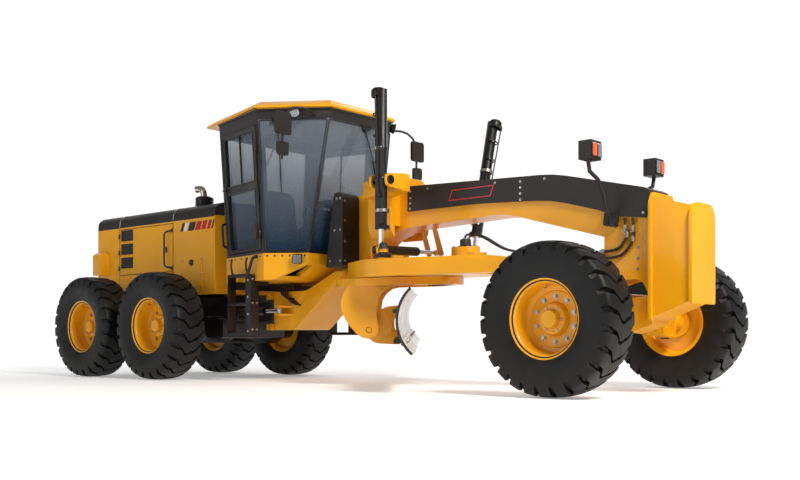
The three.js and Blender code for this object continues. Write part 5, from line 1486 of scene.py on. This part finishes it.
@dataclass
class LiftCylinder:
    """Bands, yoke, ports and pipe of one blade lift cylinder.

    Args:
        label: Left or right.
        side: Sign of its Y.
        trunnion: The left trunnion, in mm.
        ball: The left rod's ball in the drawbar's axes, in mm.
    """

    label: str
    side: float
    trunnion: tuple[float, float, float] = (4335.0, 870.0, 2150.0)
    ball: tuple[float, float, float] = (-1895.0, 790.0, 215.0)

    def ends(self) -> tuple[Array, Array]:
        """Return this side's trunnion and ball, in mm."""
        mirror = np.array((1.0, self.side, 1.0))
        return self.trunnion * mirror, DRAWBAR.origin + (self.ball * mirror) @ DRAWBAR.axes

    def frame(self) -> Frame:
        """Return axes whose Z runs from the trunnion to the ball, with X kept forwards."""
        trunnion, ball = self.ends()
        z = unit(ball - trunnion)
        x = unit(np.array((1.0, 0.0, 0.0)) - z[0] * z)
        return Frame(tuple(trunnion), np.array([x, np.cross(z, x), z]))

    def build(self) -> None:
        """Build the cylinder's trim and the cup that hides its ball."""
        f = self.frame()
        length = float(np.linalg.norm(self.ends()[1] - self.ends()[0]))
        x_way, y_way, axis = f.axes
        foot = length / 1000.0 - 0.245
        barrel, rod = f"lift_barrel_{self.label}", f"lift_rod_{self.label}"
        origin = f.at((0, 0, 0))[0]
        trim, bright = Surface(), Surface()
        collar = np.array([(0, 0.0645), (0, 0.074), (0.004, 0.077), (0.040, 0.077), (0.044, 0.074), (0.044, 0.0645)])
        trim.turned(collar + (-0.034, 0), origin, axis, 40, closed=True)
        trim.turned(collar * (1.6, 0.98) + (-0.947, 0.0012), origin, axis, 40, closed=True)
        head = np.array([(0, 0.0), (0, 0.058), (0.014, 0.066), (0.020, 0.066), (0.020, 0)])
        trim.turned(head * (1, 0.98) + (-0.965, 0), origin, axis, 40)
        gland = np.array([(0, 0.0642), (0, 0.072), (0.003, 0.0745), (0.034, 0.0745), (0.037, 0.072), (0.037, 0.034),
                          (0.030, 0.034), (0.030, 0.0642)])
        trim.turned(gland + (foot - 0.032, 0), origin, axis, 40, closed=True)
        band = np.array([(0, 0.0646), (0, 0.0749), (0.032, 0.0749), (0.032, 0.0646)])
        for z in (-0.345, 0.30):
            bright.turned(band + (z, 0), origin, axis, 40, closed=True)
        bright.bolts(circled(origin + (foot + 0.005) * axis, x_way, y_way, 0.056, 8), axis, 0.007)
        y = -84.0 * self.side
        pipe = bent(f.at((30, y * 0.6, -890), (30, y, -885), (30, y, 150), (30, y * 0.6, 165)), 0.02)
        trim.tube(pipe, 0.008, 10)
        for z in (-895, 160):
            corners = f.at((10, y * 0.5, z - 24), (50, y * 1.1, z + 24))
            trim.box(corners.min(0), corners.max(0), 0.004)
        strap = np.array([(0, 0.0646), (0, 0.0684), (0.016, 0.0684), (0.016, 0.0646)])
        for z in (-0.700, -0.480, -0.200):
            trim.turned(strap + (z, 0), origin, axis, 40, closed=True)
        trim.piece(f"lift_trim_{self.label}", barrel, BLACK)
        bright.piece(f"lift_bands_{self.label}", barrel, ZINC)
        cup = [(-0.100, 0.0), (-0.100, 0.030), (-0.092, 0.040), (-0.060, 0.044), (-0.050, 0.050), (-0.020, 0.053),
               (-0.008, 0.050), (-0.008, 0.0)]
        Surface().turned(cup, f.at((0, 0, length))[0], axis, 40).piece(f"lift_rod_cup_{self.label}", rod, CAST)
        yoke = Surface()
        pin = [(0, 0.0), (0, 0.044), (0.005, 0.047), (0.016, 0.047), (0.020, 0.043), (0.020, 0.0)]
        for d in (-1, 1):
            centre = at(f.origin)[0] + (d * 0.125, 0, 0)
            yoke.turned(pin, centre, (d, 0, 0), 32)
            yoke.bolts(circled(centre + (d * 0.020, 0, 0), (0, 1, 0), (0, 0, 1), 0.030, 4, 0.8), (d, 0, 0), 0.007)
        yoke.piece(f"lift_trunnion_caps_{self.label}", "lift_saddle", BLACK)


@dataclass
class Axle:
    """Bolts and caps of the front axle, its king pins and the tandem cases.

    Args:
        beam_front: X of the axle beam's front, in mm.
        case_face: Distance of the tandem cases' outer faces from the middle, in mm.
        king_pin: X and distance from the middle of the king pins, in mm.
    """

    beam_front: float = 6735.0
    case_face: float = 860.0
    king_pin: tuple[float, float] = (6650.0, 862.0)

    def build(self) -> None:
        """Build the heads and caps; the king pins' caps ride on the knuckles that turn about them."""
        front = Surface()
        for _, s in sides():
            front.bolts(at(*((self.beam_front, s * y, 600) for y in (130, 250, 370, 490))), (1, 0, 0), 0.012)
        pin = [(0, 0.0), (0, 0.058), (0.006, 0.062), (0.016, 0.062), (0.020, 0.056), (0.020, 0.0)]
        front.turned(pin, at((self.beam_front, 0, 780))[0], (1, 0, 0), 40)
        front.piece("front_axle_bolts", "front_axle", ZINC)
        lid = [(0, 0.0), (0, 0.044), (0.012, 0.044), (0.016, 0.038), (0.016, 0)]
        for label, s in sides():
            cap = Surface()
            middle_of_cap = at((0, s * self.case_face, 675))[0]
            cap.plate(oblong(0.30, 0.11, 0.05), middle_of_cap, (-s, 0, 0), (0, 0, 1), 0.012, 0.004)
            heads = at(*((x, s * (self.case_face + 12), z) for x in range(-260, 261, 130) for z in (590, 760)))
            cap.bolts(heads, (0, s, 0), 0.012, 1)
            cap.piece(f"tandem_cover_{label}", f"tandem_case_{label}", BLACK, ZINC)
            king = Surface()
            x, y = self.king_pin
            for z, way in ((792, 1), (522, -1)):
                king.turned(lid, at((x, s * y, z))[0], (0, 0, way), 28)
            king.piece(f"king_pin_caps_{label}", f"steering_knuckle_{label}", CAST)


@dataclass
class Cab:
    """Seals, handles, lamps, wipers, mirrors and steps of the cab.

    Args:
        plan: Corners of the cab's outline at the sill, in mm.
        flare: How far each wall leans out from sill to eaves, in mm.
        sill: Height of the sill, in mm.
        eaves: Height of the eaves, in mm.
    """

    plan: tuple[tuple[float, float], ...] = (
        (1560, -680), (2520, -905), (2950, -600), (2950, 600), (2520, 905), (1560, 680),
    )  # fmt: skip
    flare: tuple[float, ...] = (102, 86, 265, 86, 102, 35)
    sill: float = 1500.0
    eaves: float = 3100.0

    def ring(self, z: float) -> Array:
        """Work out the cab's outline at one height.

        Formula: each wall moves out by flare * (z - sill) / (eaves - sill), and a corner is where
        two neighbouring walls' lines cross.

        Args:
            z: The height in mm.

        Returns:
            A (6, 2) array of corners; wall i runs from corner i to corner i + 1.
        """
        p = np.array(self.plan, float)
        run = unit(np.roll(p, -1, 0) - p)
        out = np.stack([run[:, 1], -run[:, 0]], -1)
        moved = p + out * (np.array(self.flare) * (z - self.sill) / (self.eaves - self.sill))[:, None]
        before, way = np.roll(moved, 1, 0), np.roll(run, 1, 0)
        gap = moved - before
        along = (gap[:, 0] * run[:, 1] - gap[:, 1] * run[:, 0]) / (way[:, 0] * run[:, 1] - way[:, 1] * run[:, 0])
        return before + along[:, None] * way

    def wall(self, face: int) -> tuple[Array, Array, Array]:
        """Return a wall's horizontal run, its outward normal and its slanted upward direction."""
        ring = self.ring(self.sill)
        run = unit(np.append(ring[(face + 1) % 6] - ring[face], 0.0))
        out = np.array((run[1], -run[0], 0.0))
        lean = self.flare[face] / (self.eaves - self.sill)
        return run, unit(out - np.array((0, 0, lean))), unit(out * lean + (0, 0, 1))

    def spot(self, face: int, start: float, end: float, z: float, out: float) -> Array:
        """Find a place on a wall, in frame metres.

        Args:
            face: The wall.
            start: Distance from its first corner in mm, if end is 0.
            end: Distance from its last corner in mm, if start is 0.
            z: The height in mm.
            out: Distance outside the wall in mm.

        Returns:
            The place.
        """
        ring = self.ring(z)
        run, normal, _ = self.wall(face)
        corner = ring[face] if not end else ring[(face + 1) % 6]
        place = np.append(corner, z) + run * (start if not end else -end) + normal * out
        return at(tuple(place))[0]

    def frame(self, mesh: Surface, face: int, ends: tuple[float, float], zs: tuple[float, float], out: float,
              radius: float = 0.007, slot: int = 0) -> None:
        """Lay a round-section seal along a rectangle on a wall.

        Args:
            mesh: The surface it is added to.
            face: The wall.
            ends: Distance of its ends from the wall's two corners, in mm.
            zs: Its foot and top, in mm.
            out: Distance outside the wall, in mm.
            radius: The seal's radius in metres.
            slot: The material slot.
        """
        a, b = ends
        corners = np.array([
            self.spot(face, a, 0, (zs[0] + zs[1]) / 2, out), self.spot(face, a, 0, zs[0], out),
            self.spot(face, 0, b, zs[0], out), self.spot(face, 0, b, zs[1], out), self.spot(face, a, 0, zs[1], out),
            self.spot(face, a, 0, (zs[0] + zs[1]) / 2 + 1, out),
        ])
        mesh.tube(bent(corners, 0.03), radius, 8, slot)

    def door_spot(self, right: bool, rear: bool, inset: float, z: float, out: float) -> Array:
        """Find a place on a door's wall.

        Args:
            right: Whether it is the right door.
            rear: Whether the inset counts from the wall's rear corner.
            inset: Distance from that corner in mm.
            z: The height in mm.
            out: Distance outside the wall in mm.

        Returns:
            The place.
        """
        face = 0 if right else 4
        return self.spot(face, inset, 0, z, out) if right == rear else self.spot(face, 0, inset, z, out)

    def doors(self) -> None:
        """Put seals, a sliding pane's bar, a lever, a pull bar and hinges on both doors."""
        knuckle = [(-0.05, 0), (-0.05, 0.014), (-0.046, 0.017), (0.046, 0.017), (0.05, 0.014), (0.05, 0)]
        for label, s in sides():
            right = s < 0
            face, turned = (0, 1) if right else (4, -1)
            rear, fore = partial(self.door_spot, right, True), partial(self.door_spot, right, False)
            _, normal, up = self.wall(face)
            body = f"cab_door_{label}"
            trim = Surface()
            self.frame(trim, face, (141.0, 136.0)[::turned], (1582, 2258), -2)
            self.frame(trim, face, (141.0, 136.0)[::turned], (2352, 2929), -2)
            middle = np.stack([(rear(480, z, -22) + fore(480, z, -22)) / 2 for z in np.linspace(2354, 2925, 6)])
            trim.tube(middle, 0.012, 10)
            self.frame(trim, face, (72.0, 67.0)[::turned], (1548, 2972), 1, 0.006)
            for z in (1720, 2160, 2700):
                trim.turned(knuckle, fore(59, z, 6), up, 20)
            across = np.cross(up, normal)
            trim.plate(oblong(0.03, 0.075, 0.015, 5), rear(104, 2290, 0), across, up, 0.012, 0.003)
            lever = np.stack([rear(104, 2320, 12), rear(104, 2320, 46), rear(150, 2312, 52), rear(200, 2300, 50)])
            trim.tube(bent(lever, 0.02), 0.010, 12)
            trim.plate(oblong(0.032, 0.09, 0.02, 5), fore(104, 1760, 0), across, up, 0.045, 0.008)
            trim.piece(f"cab_door_trim_{label}", body, BLACK)
            rail = np.stack([rear(30, z, out) for z, out in ((1640, 0), (1645, 45), (1915, 45), (1920, 0))])
            grab = Surface().tube(bent(rail, 0.035), 0.014, 14)
            grab.piece(f"cab_grab_rail_{label}", "cab_frame", BLACK)

    def glazing(self) -> None:
        """Lay seals round the fixed panes, and the wipers."""
        body = "cab_frame"
        seals, arms = Surface(), Surface()
        for face, ends in ((1, (26.0, 12.0)), (2, (12.0, 12.0)), (3, (12.0, 26.0))):
            self.frame(seals, face, ends, (1530, 3020), 3, 0.006)
        self.frame(seals, 5, (94.0, 94.0), (1538, 2982), -6, 0.006)
        seals.piece("cab_seals", body, HOSE)
        for face, start, reach in ((2, 600.0, 330.0), (1, 250.0, 0.0), (3, 250.0, 0.0), (5, 640.0, 260.0)):
            _, normal, up = self.wall(face)
            out = 22 if face != 5 else 16
            pivot = self.spot(face, start, 0, 2975, out - 4)
            tip = self.spot(face, start + reach, 0, 2420, out)
            arms.tube(np.stack([pivot, (pivot + tip) / 2 + normal * 0.012, tip]), np.array([0.009, 0.006, 0.005]), 8)
            arms.turned([(-0.02, 0), (-0.02, 0.02), (0.008, 0.02), (0.012, 0.014), (0.012, 0)], pivot, normal, 20)
            blade = unit(tip - pivot)
            wiper = np.stack([tip - blade * 0.26, tip, tip + blade * 0.24]) - normal * 0.006
            arms.tube(wiper, np.array([0.004, 0.009, 0.004]), 8)
            motor = self.spot(face, start, 0, 3010, out - 6)
            arms.plate(oblong(0.07, 0.028, 0.012, 5), motor, np.cross(up, normal), up, 0.026, 0.006)
        arms.piece("cab_wipers", body, BLACK)

    def roof(self) -> None:
        """Build the roof's skin with a dark header, its lifting eyes and lamps."""
        made = softened("cab_roof", YELLOW, 0.010)
        made.data.materials.append(CHARCOAL.material())
        low = np.array([face.center.z < 3.150 for face in made.data.polygons])
        made.data.polygons.foreach_set("material_index", low.astype(np.int32))
        body = "cab_roof"
        eyes = Surface()
        for x, y in ((1560, -560), (1560, 560), (2600, -700), (2600, 700)):
            loop = at((x - 45, y, 3215), (x - 40, y, 3268), (x + 40, y, 3268), (x + 45, y, 3215))
            eyes.tube(bent(loop, 0.03), 0.010, 12)
        eyes.piece("roof_lifting_eyes", body, BLACK)
        lamps, lens = Surface(), Surface()
        frame_body = "cab_frame"
        for face, start in ((1, 455.0), (3, 90.0), (5, 200.0), (5, 1180.0)):
            _, normal, _ = self.wall(face)
            flat = unit(normal * (1, 1, 0))
            way = unit(flat - (0, 0, 0.25))
            centre = self.spot(face, start, 0, 3090, 30)
            shell = np.array([(-0.055, 0.0), (-0.055, 0.030), (-0.045, 0.045), (0.0, 0.062), (0.012, 0.064),
                              (0.014, 0.060), (0.010, 0.054), (0.006, 0.0)])
            lamps.turned(shell, centre + flat * 0.03, way, 36)
            glass = np.array([(0.007, 0.0), (0.007, 0.053), (0.011, 0.053), (0.016, 0.035), (0.018, 0.0)])
            lens.turned(glass, centre + flat * 0.03, way, 36)
            lamps.box(centre - 0.014, centre + (0.014, 0.014, 0.045), 0.003)
        lamps.piece("header_lamps", frame_body, BLACK)
        lens.piece("header_lamp_lenses", frame_body, LENS)

    def outside(self) -> None:
        """Put mirror glass, grab handles, the side lamp, tread plates and bolts in place."""
        glass = Surface()
        for _, s in sides():
            for y0, y1, z0, z1, x in ((1037, 1238, 2772, 2998, 3095), (1070, 1210, 2540, 2670, 3092)):
                centre = at((x, s * (y0 + y1) / 2, (z0 + z1) / 2))[0]
                outline = oblong((y1 - y0) / 2000.0, (z1 - z0) / 2000.0, 0.03)
                glass.plate(outline, centre, (0, -1, 0), (0, 0, 1), 0.003, 0.001)
        glass.piece("mirror_glass", "cab_frame", MIRROR)
        base = "cab_base"
        rails, heads = Surface(), Surface()
        for _, s in sides():
            path = at((2362, s * 863, 1474), (2358, s * 931, 1462), (2259, s * 933, 1240), (2253, s * 867, 1222))
            rails.tube(bent(path, 0.035), 0.018, 14)
        rails.piece("step_grab_handles", base, BLACK)
        outline = oblong(0.058, 0.055, 0.014)
        for name, s in sides():
            _, normal, _ = self.wall(1 if s < 0 else 3)
            place = self.spot(1, 408, 0, 1425, 0) if s < 0 else self.spot(3, 0, 408, 1425, 0)
            flat = unit(normal * (1, 1, 0))
            across = np.cross((0, 0, 1), flat)
            shell, lens = Surface(), Surface()
            shell.plate(outline * 0.8, place + flat * 0.002, across, (0, 0, 1), 0.06, 0.006)
            shell.plate(outline, place + flat * 0.055, across, (0, 0, 1), 0.035, 0.008)
            lens.plate(outline * 0.86, place + flat * 0.090, across, (0, 0, 1), 0.006, 0.003)
            shell.piece(f"side_lamp_{name}", base, BLACK)
            lens.piece(f"side_lamp_lens_{name}", base, LENS)
        ribs, steel = Surface(), Surface()
        for _, s in sides():
            for z, end in ((592, 2235), (937, 2235), (1272, 2200)):
                for x in range(1905, end, 26):
                    ribs.box(*span((x, s * 812, z), (x + 9, s * 908, z + 5)), 0.0015)
            steel.bolts(at(*((2312, s * y, z) for y in (830, 895) for z in (620, 930, 1210))), (1, 0, 0), 0.010)
            steel.bolts(at(*((2264, s * 925, z) for z in (600, 800, 1000, 1200))), (0, s, 0), 0.010)
        ribs.piece("step_treads", "access_ladders", BLACK)
        steel.piece("step_bolts", "access_ladders", ZINC)
        for face in (0, 1, 3, 4):
            ring = self.ring(self.sill)
            p, q = ring[face], ring[(face + 1) % 6]
            spots = at(*(np.append(p + (q - p) * share, 1470.0) for share in np.linspace(0.08, 0.92, 6)))
            heads.bolts(spots, unit(self.wall(face)[1] * (1, 1, 0)), 0.008)
        heads.piece("cab_base_bolts", base, BLACK)
        box = Surface()
        box.bolts(at(*((3350, y, z) for y in (-410, 410) for z in (1400, 1620, 1860, 2080))), (1, 0, 0), 0.010)
        spots = ((3150, 1400), (3315, 1400), (3225, 1750), (3315, 1750), (3258, 2110), (3315, 2110))
        for _, s in sides():
            box.bolts(at(*((x, s * 450, z) for x, z in spots)), (0, s, 0), 0.010)
        box.piece("front_box_bolts", "front_cab_box", ZINC)
        vents = Surface()
        blade = np.array([(-0.08, 0.0), (0.08, 0.0), (0.08, 0.016), (-0.08, 0.016)])
        for z in range(1480, 1800, 32):
            for _, s in sides():
                vents.plate(blade, at((3351, s * 320, z))[0], (0, 1, 0), (0.6, 0.0, -0.8), 0.0025, 0.0006)
        vents.piece("front_box_vents", "front_cab_box", BLACK)

    def build(self) -> None:
        """Build the doors' trim, the glazing, the roof and the outside fittings."""
        self.doors()
        self.glazing()
        self.roof()
        self.outside()


@dataclass
class Station:
    """The operator's seat, steering wheel, levers, mat and headlining.

    Args:
        wheel: Radius of the steering wheel's rim, in metres.
    """

    wheel: float = 0.205

    @staticmethod
    def blunt(values: Array) -> Array:
        """Square off a circle's sines or cosines: sign(v) |v|^0.42."""
        return np.sign(values) * np.abs(values) ** 0.42

    def pad(self, name: str, frame: Frame, half: tuple[float, float, float], channels: Array) -> None:
        """Shape one sewn pad.

        Formula: a superellipse form P(a, b) = (w c(a) c(b), d s(a) c(b), h s(b)), where c and s are
        sign(cos) |cos|^0.42 and sign(sin) |sin|^0.42. The crown adds h/4 of the cosine across, and
        each sewn channel takes 7 mm exp(-(distance / 9 mm)^2) off the top.

        Args:
            name: The piece's name.
            frame: Its axes: Z comes out of the padded face.
            half: Half its width, length and thickness, in metres.
            channels: Places of the channels along its length, in metres.
        """
        a, b = np.meshgrid(np.linspace(0, 2 * np.pi, 144, endpoint=False), np.linspace(-np.pi / 2, np.pi / 2, 73))
        x = half[0] * self.blunt(np.cos(a)) * self.blunt(np.cos(b))
        y = half[1] * self.blunt(np.sin(a)) * self.blunt(np.cos(b))
        z = half[2] * self.blunt(np.sin(b))
        top = np.clip(z / half[2], 0, 1) ** 2
        z = z + 0.25 * half[2] * top * np.cos(x / half[0] * np.pi / 2) * np.cos(y / half[1] * np.pi / 2)
        sewn = np.exp(-(((y[..., None] - channels) / 0.009) ** 2)).sum(-1)
        sewn = sewn + np.exp(-(((np.abs(x) - 0.7 * half[0]) / 0.009) ** 2))
        z = z - 0.007 * top * np.clip(sewn, 0, 1)
        pinch = 1 - 0.035 * np.cos(x / half[0] * np.pi / 2) * (np.abs(z) < half[2] * 0.5)
        shape = Surface().grid(frame.metres(np.stack([x, y * pinch, z], -1)))
        body, node = "operator_seat", ("operator_seat",) if name == "seat_cushion" else ()
        shape.piece(name, body, CLOTH, stands_for=node, angle=np.radians(70))
        rim = np.linspace(0, 2 * np.pi, 97)
        sweep = 1.004 * self.blunt(np.stack([np.cos(rim), np.sin(rim)], -1)) * half[:2]
        cord = np.hstack([sweep, np.full((97, 1), 0.001)])
        welt = Surface().grid(self.round(frame.metres(cord), 0.004))
        welt.piece(f"{name}_welt", body, HOSE)

    def round(self, path: Array, radius: float, count: int = 8) -> Array:
        """Carry a circle round a closed path.

        Args:
            path: The (n, 3) centre line, whose last point is its first.
            radius: The circle's radius.
            count: Its points.

        Returns:
            An (n, count, 3) grid.
        """
        c = path[:-1]
        t = unit(np.roll(c, -1, 0) - np.roll(c, 1, 0))
        up = np.linalg.svd(c - c.mean(0))[2][2]
        n = unit(np.cross(up, t))
        a = np.linspace(0, 2 * np.pi, count, endpoint=False)
        rings = c[:, None] + radius * (np.cos(a)[None, :, None] * n[:, None] + np.sin(a)[None, :, None] * up)
        return np.concatenate([rings, rings[:1]])

    def seat(self) -> None:
        """Build the cushion, the back, the arm rests and the sprung foot."""
        tilt = Frame((2058.0, 0.0, 1694.0), turning((0, 1, 0), -2.0)).inner((0, 0, 0), turning((0, 0, 1), 90))
        self.pad("seat_cushion", tilt, (0.256, 0.252, 0.056), np.array([-0.12, 0.0, 0.12]))
        lean = Frame((1795.0, 0.0, 2050.0), unit(np.array([(0.0, 1.0, 0.0), (-0.14, 0.0, 0.99), (0.99, 0.0, 0.14)])))
        self.pad("seat_back", lean, (0.246, 0.335, 0.050), np.array([-0.2, -0.07, 0.07, 0.2]))
        frame = Surface()
        for _, s in sides():
            frame.plate(oblong(0.036, 0.028, 0.02), at((1852, s * 292, 1910))[0], (0, 1, 0), (0, 0, 1), 0.345, 0.012)
            frame.box(*span((1805, s * 272, 1700), (1862, s * 312, 1900)), 0.01)
        for k, z in enumerate(np.linspace(1300, 1590, 9)):
            grow = 8 * (k % 2)
            frame.box(*span((1912 - grow, -160 - grow, z), (2190 + grow, 160 + grow, z + 36)), 0.010)
        frame.box(*span((1900, -170, 1240.5), (2200, 170, 1300)), 0.008)
        frame.box(*span((1860, -215, 1605), (2240, 215, 1640)), 0.008)
        frame.piece("seat_frame", "operator_seat", PLASTIC)

    def steering(self) -> None:
        """Build the column, the wheel, the levers and the display."""
        body = "steering_console"
        column = Surface()
        outline = self.plan((2475, 1241), (2700, 1460), (2668, 1700), (2640, 1950), (2530, 1950), (2500, 1600),
                            (2475, 1500), radius=0.03, steps=6)
        column.plate(outline, (0.0, 0.158, 0.0), (1, 0, 0), (0, 0, 1), 0.316, 0.014)
        column.piece("steering_column", body, PLASTIC, stands_for=("steering_console",))
        hub = Frame((2500.0, 0.0, 2080.0), turning((0, 1, 0), -28.6))
        a = np.linspace(0, 2 * np.pi, 65)
        rim = hub.metres(self.wheel * np.stack([np.cos(a), np.sin(a), 0 * a], -1))
        wheel = Surface().grid(self.round(rim, 0.0145, 14))
        knob = np.array([(-0.02, 0.0), (-0.02, 0.05), (0.006, 0.055), (0.016, 0.045), (0.02, 0.0)])
        wheel.turned(knob, hub.at((0, 0, 0))[0], hub.way(0, 0, 1), 36)
        for turn in np.radians((90, 210, 330)):
            way = np.array((np.cos(turn), np.sin(turn), 0.0))
            ends = hub.metres(np.stack([r * way for r in (0.03, 0.12, 0.203)]))
            wheel.tube(ends, np.array([0.014, 0.010, 0.009]), 12)
        wheel.tube(hub.at((0, 0, -10), (0, 0, -100), (0, 0, -190)), 0.026, 20)
        wheel.piece("steering_wheel", body, PLASTIC)
        levers, knobs = Surface(), Surface()
        for s in (-1, 1):
            for k in range(2):
                foot, tip = at((2585, s * (60 + k * 40), 1935))[0], at((2540, s * (168 + k * 78), 2110))[0]
                levers.tube(spline(np.stack([foot, (foot + tip) / 2 + (0.01, s * 0.012, 0.0), tip]), 6), 0.006, 10)
                drop = np.array([(-0.022, 0.0), (-0.022, 0.012), (0.0, 0.02), (0.016, 0.017), (0.024, 0.0)])
                knobs.turned(drop, tip, unit(tip - foot), 20)
        levers.piece("control_levers", body, ZINC)
        knobs.piece("control_knobs", body, HOSE)
        screen = Surface().box(*span((2560, -95, 1955), (2630, 95, 2045)), 0.012)
        screen.piece("console_display", body, HOSE)

    @staticmethod
    def plan(*corners: tuple[float, float], radius: float = 0.05, steps: int = 4) -> Array:
        """Turn X and a second coordinate in mm into a rounded outline in frame metres."""
        return rounded((np.array(corners) - (TANDEM_X, 0)) / 1000.0, radius, steps)

    def inside(self) -> None:
        """Lay the floor mat, the side shelves and the headlining."""
        mat = Surface()
        outline = self.plan((1640, -610), (2490, -800), (2560, -790), (2590, -600), (2590, 600), (2560, 790),
                            (2490, 800), (1640, 610))
        mat.plate(outline, (0.0, 0.0, 1.2405), (1, 0, 0), (0, 1, 0), 0.008, 0.002)
        mat.piece("cab_floor_mat", "cab_base", HOSE)
        shelf = Surface()
        for _, s in sides():
            shelf.box(*span((1640, s * 400, 1250), (2120, s * 600, 1700)), 0.02)
        shelf.box(*span((1625, -560, 1250), (1690, 560, 1520)), 0.02)
        shelf.piece("cab_side_shelves", "cab_base", PLASTIC)
        lining = Surface()
        outline = self.plan((1620, -690), (2520, -930), (2990, -560), (2990, 560), (2520, 930), (1620, 690))
        lining.plate(outline, (0.0, 0.0, 3.092), (1, 0, 0), (0, 1, 0), 0.028, 0.008)
        lining.piece("cab_headlining", "cab_frame", PLASTIC)

    def build(self) -> None:
        """Build the seat, the steering and the trim inside."""
        self.seat()
        self.steering()
        self.inside()




@dataclass
class Plain:
    """CAD nodes whose shape is right: each gets a rounded copy and its finish.

    Args:
        dressing: Node name, with * for left and right, its finish and the width of the rounding.
    """

    dressing: tuple[tuple[str, Finish, float], ...]

    def build(self) -> None:
        """Dress every node."""
        for node, finish, bevel in self.dressing:
            for label, _ in sides() if "*" in node else sides()[:1]:
                softened(node.replace("*", label), finish, bevel)



PARTS = (
    Wheel("left_front", 1.0, -0.040),
    Wheel("right_front", -1.0, -0.040),
    Wheel("left_tandem_front", 1.0, -0.070),
    Wheel("left_tandem_rear", 1.0, -0.070),
    Wheel("right_tandem_front", -1.0, -0.070),
    Wheel("right_tandem_rear", -1.0, -0.070),
    Plain((
        ("rear_frame", BLACK, 0.004), ("engine_block", CAST, 0.008), ("hood", YELLOW, 0.006),
        ("hood_top", CHARCOAL, 0.006), ("hood_door_*", YELLOW, 0.004), ("tandem_case_*", BLACK, 0.006),
        ("articulation_barrel_*", BLACK, 0.003), ("articulation_rod_*", CHROME, 0.002),
        ("front_frame", YELLOW, 0.006), ("boom_cover", CHARCOAL, 0.005), ("lift_saddle", YELLOW, 0.006),
        ("cab_base", YELLOW, 0.005), ("cab_frame", CHARCOAL, 0.004), ("cab_door_*", CHARCOAL, 0.004),
        ("door_glass_*", GLASS, 0.0), ("front_glass", GLASS, 0.0), ("rear_glass", GLASS, 0.0),
        ("front_cab_box", BLACK, 0.005), ("access_ladders", BLACK, 0.003), ("front_axle", YELLOW, 0.006),
        ("lean_bar", YELLOW, 0.003), ("tie_rod_end", CAST, 0.002), ("tie_rod", BLACK, 0.002),
        ("lean_bracket_*", YELLOW, 0.005), ("steering_knuckle_*", YELLOW, 0.004),
        ("drawbar_pivot", CAST, 0.002), ("drawbar", YELLOW, 0.005), ("blade_circle", YELLOW, 0.004),
        ("tilt_bracket", YELLOW, 0.004), ("centre_shift_barrel", BLACK, 0.003),
        ("centre_shift_rod", CHROME, 0.002), ("lift_barrel_left", BLACK, 0.003), ("lift_rod_left", CHROME, 0.002),
        ("lift_barrel_right", BLACK, 0.003), ("lift_rod_right", CHROME, 0.002),
    )),
    EngineHousing(),
    Boom(),
    Cab(),
    Station(),
    BladeGear(),
    LiftCylinder("left", 1.0),
    LiftCylinder("right", -1.0),
    Axle(),
)


def main() -> None:
    """Build the machine's looks in order and report each sub-assembly."""
    logging.basicConfig(level=logging.INFO, format="%(name)s: %(message)s")
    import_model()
    Studio().build()
    for part in PARTS:
        LOG.info("building %s", type(part).__name__)
        part.build()


if __name__ == "__main__":
    main()
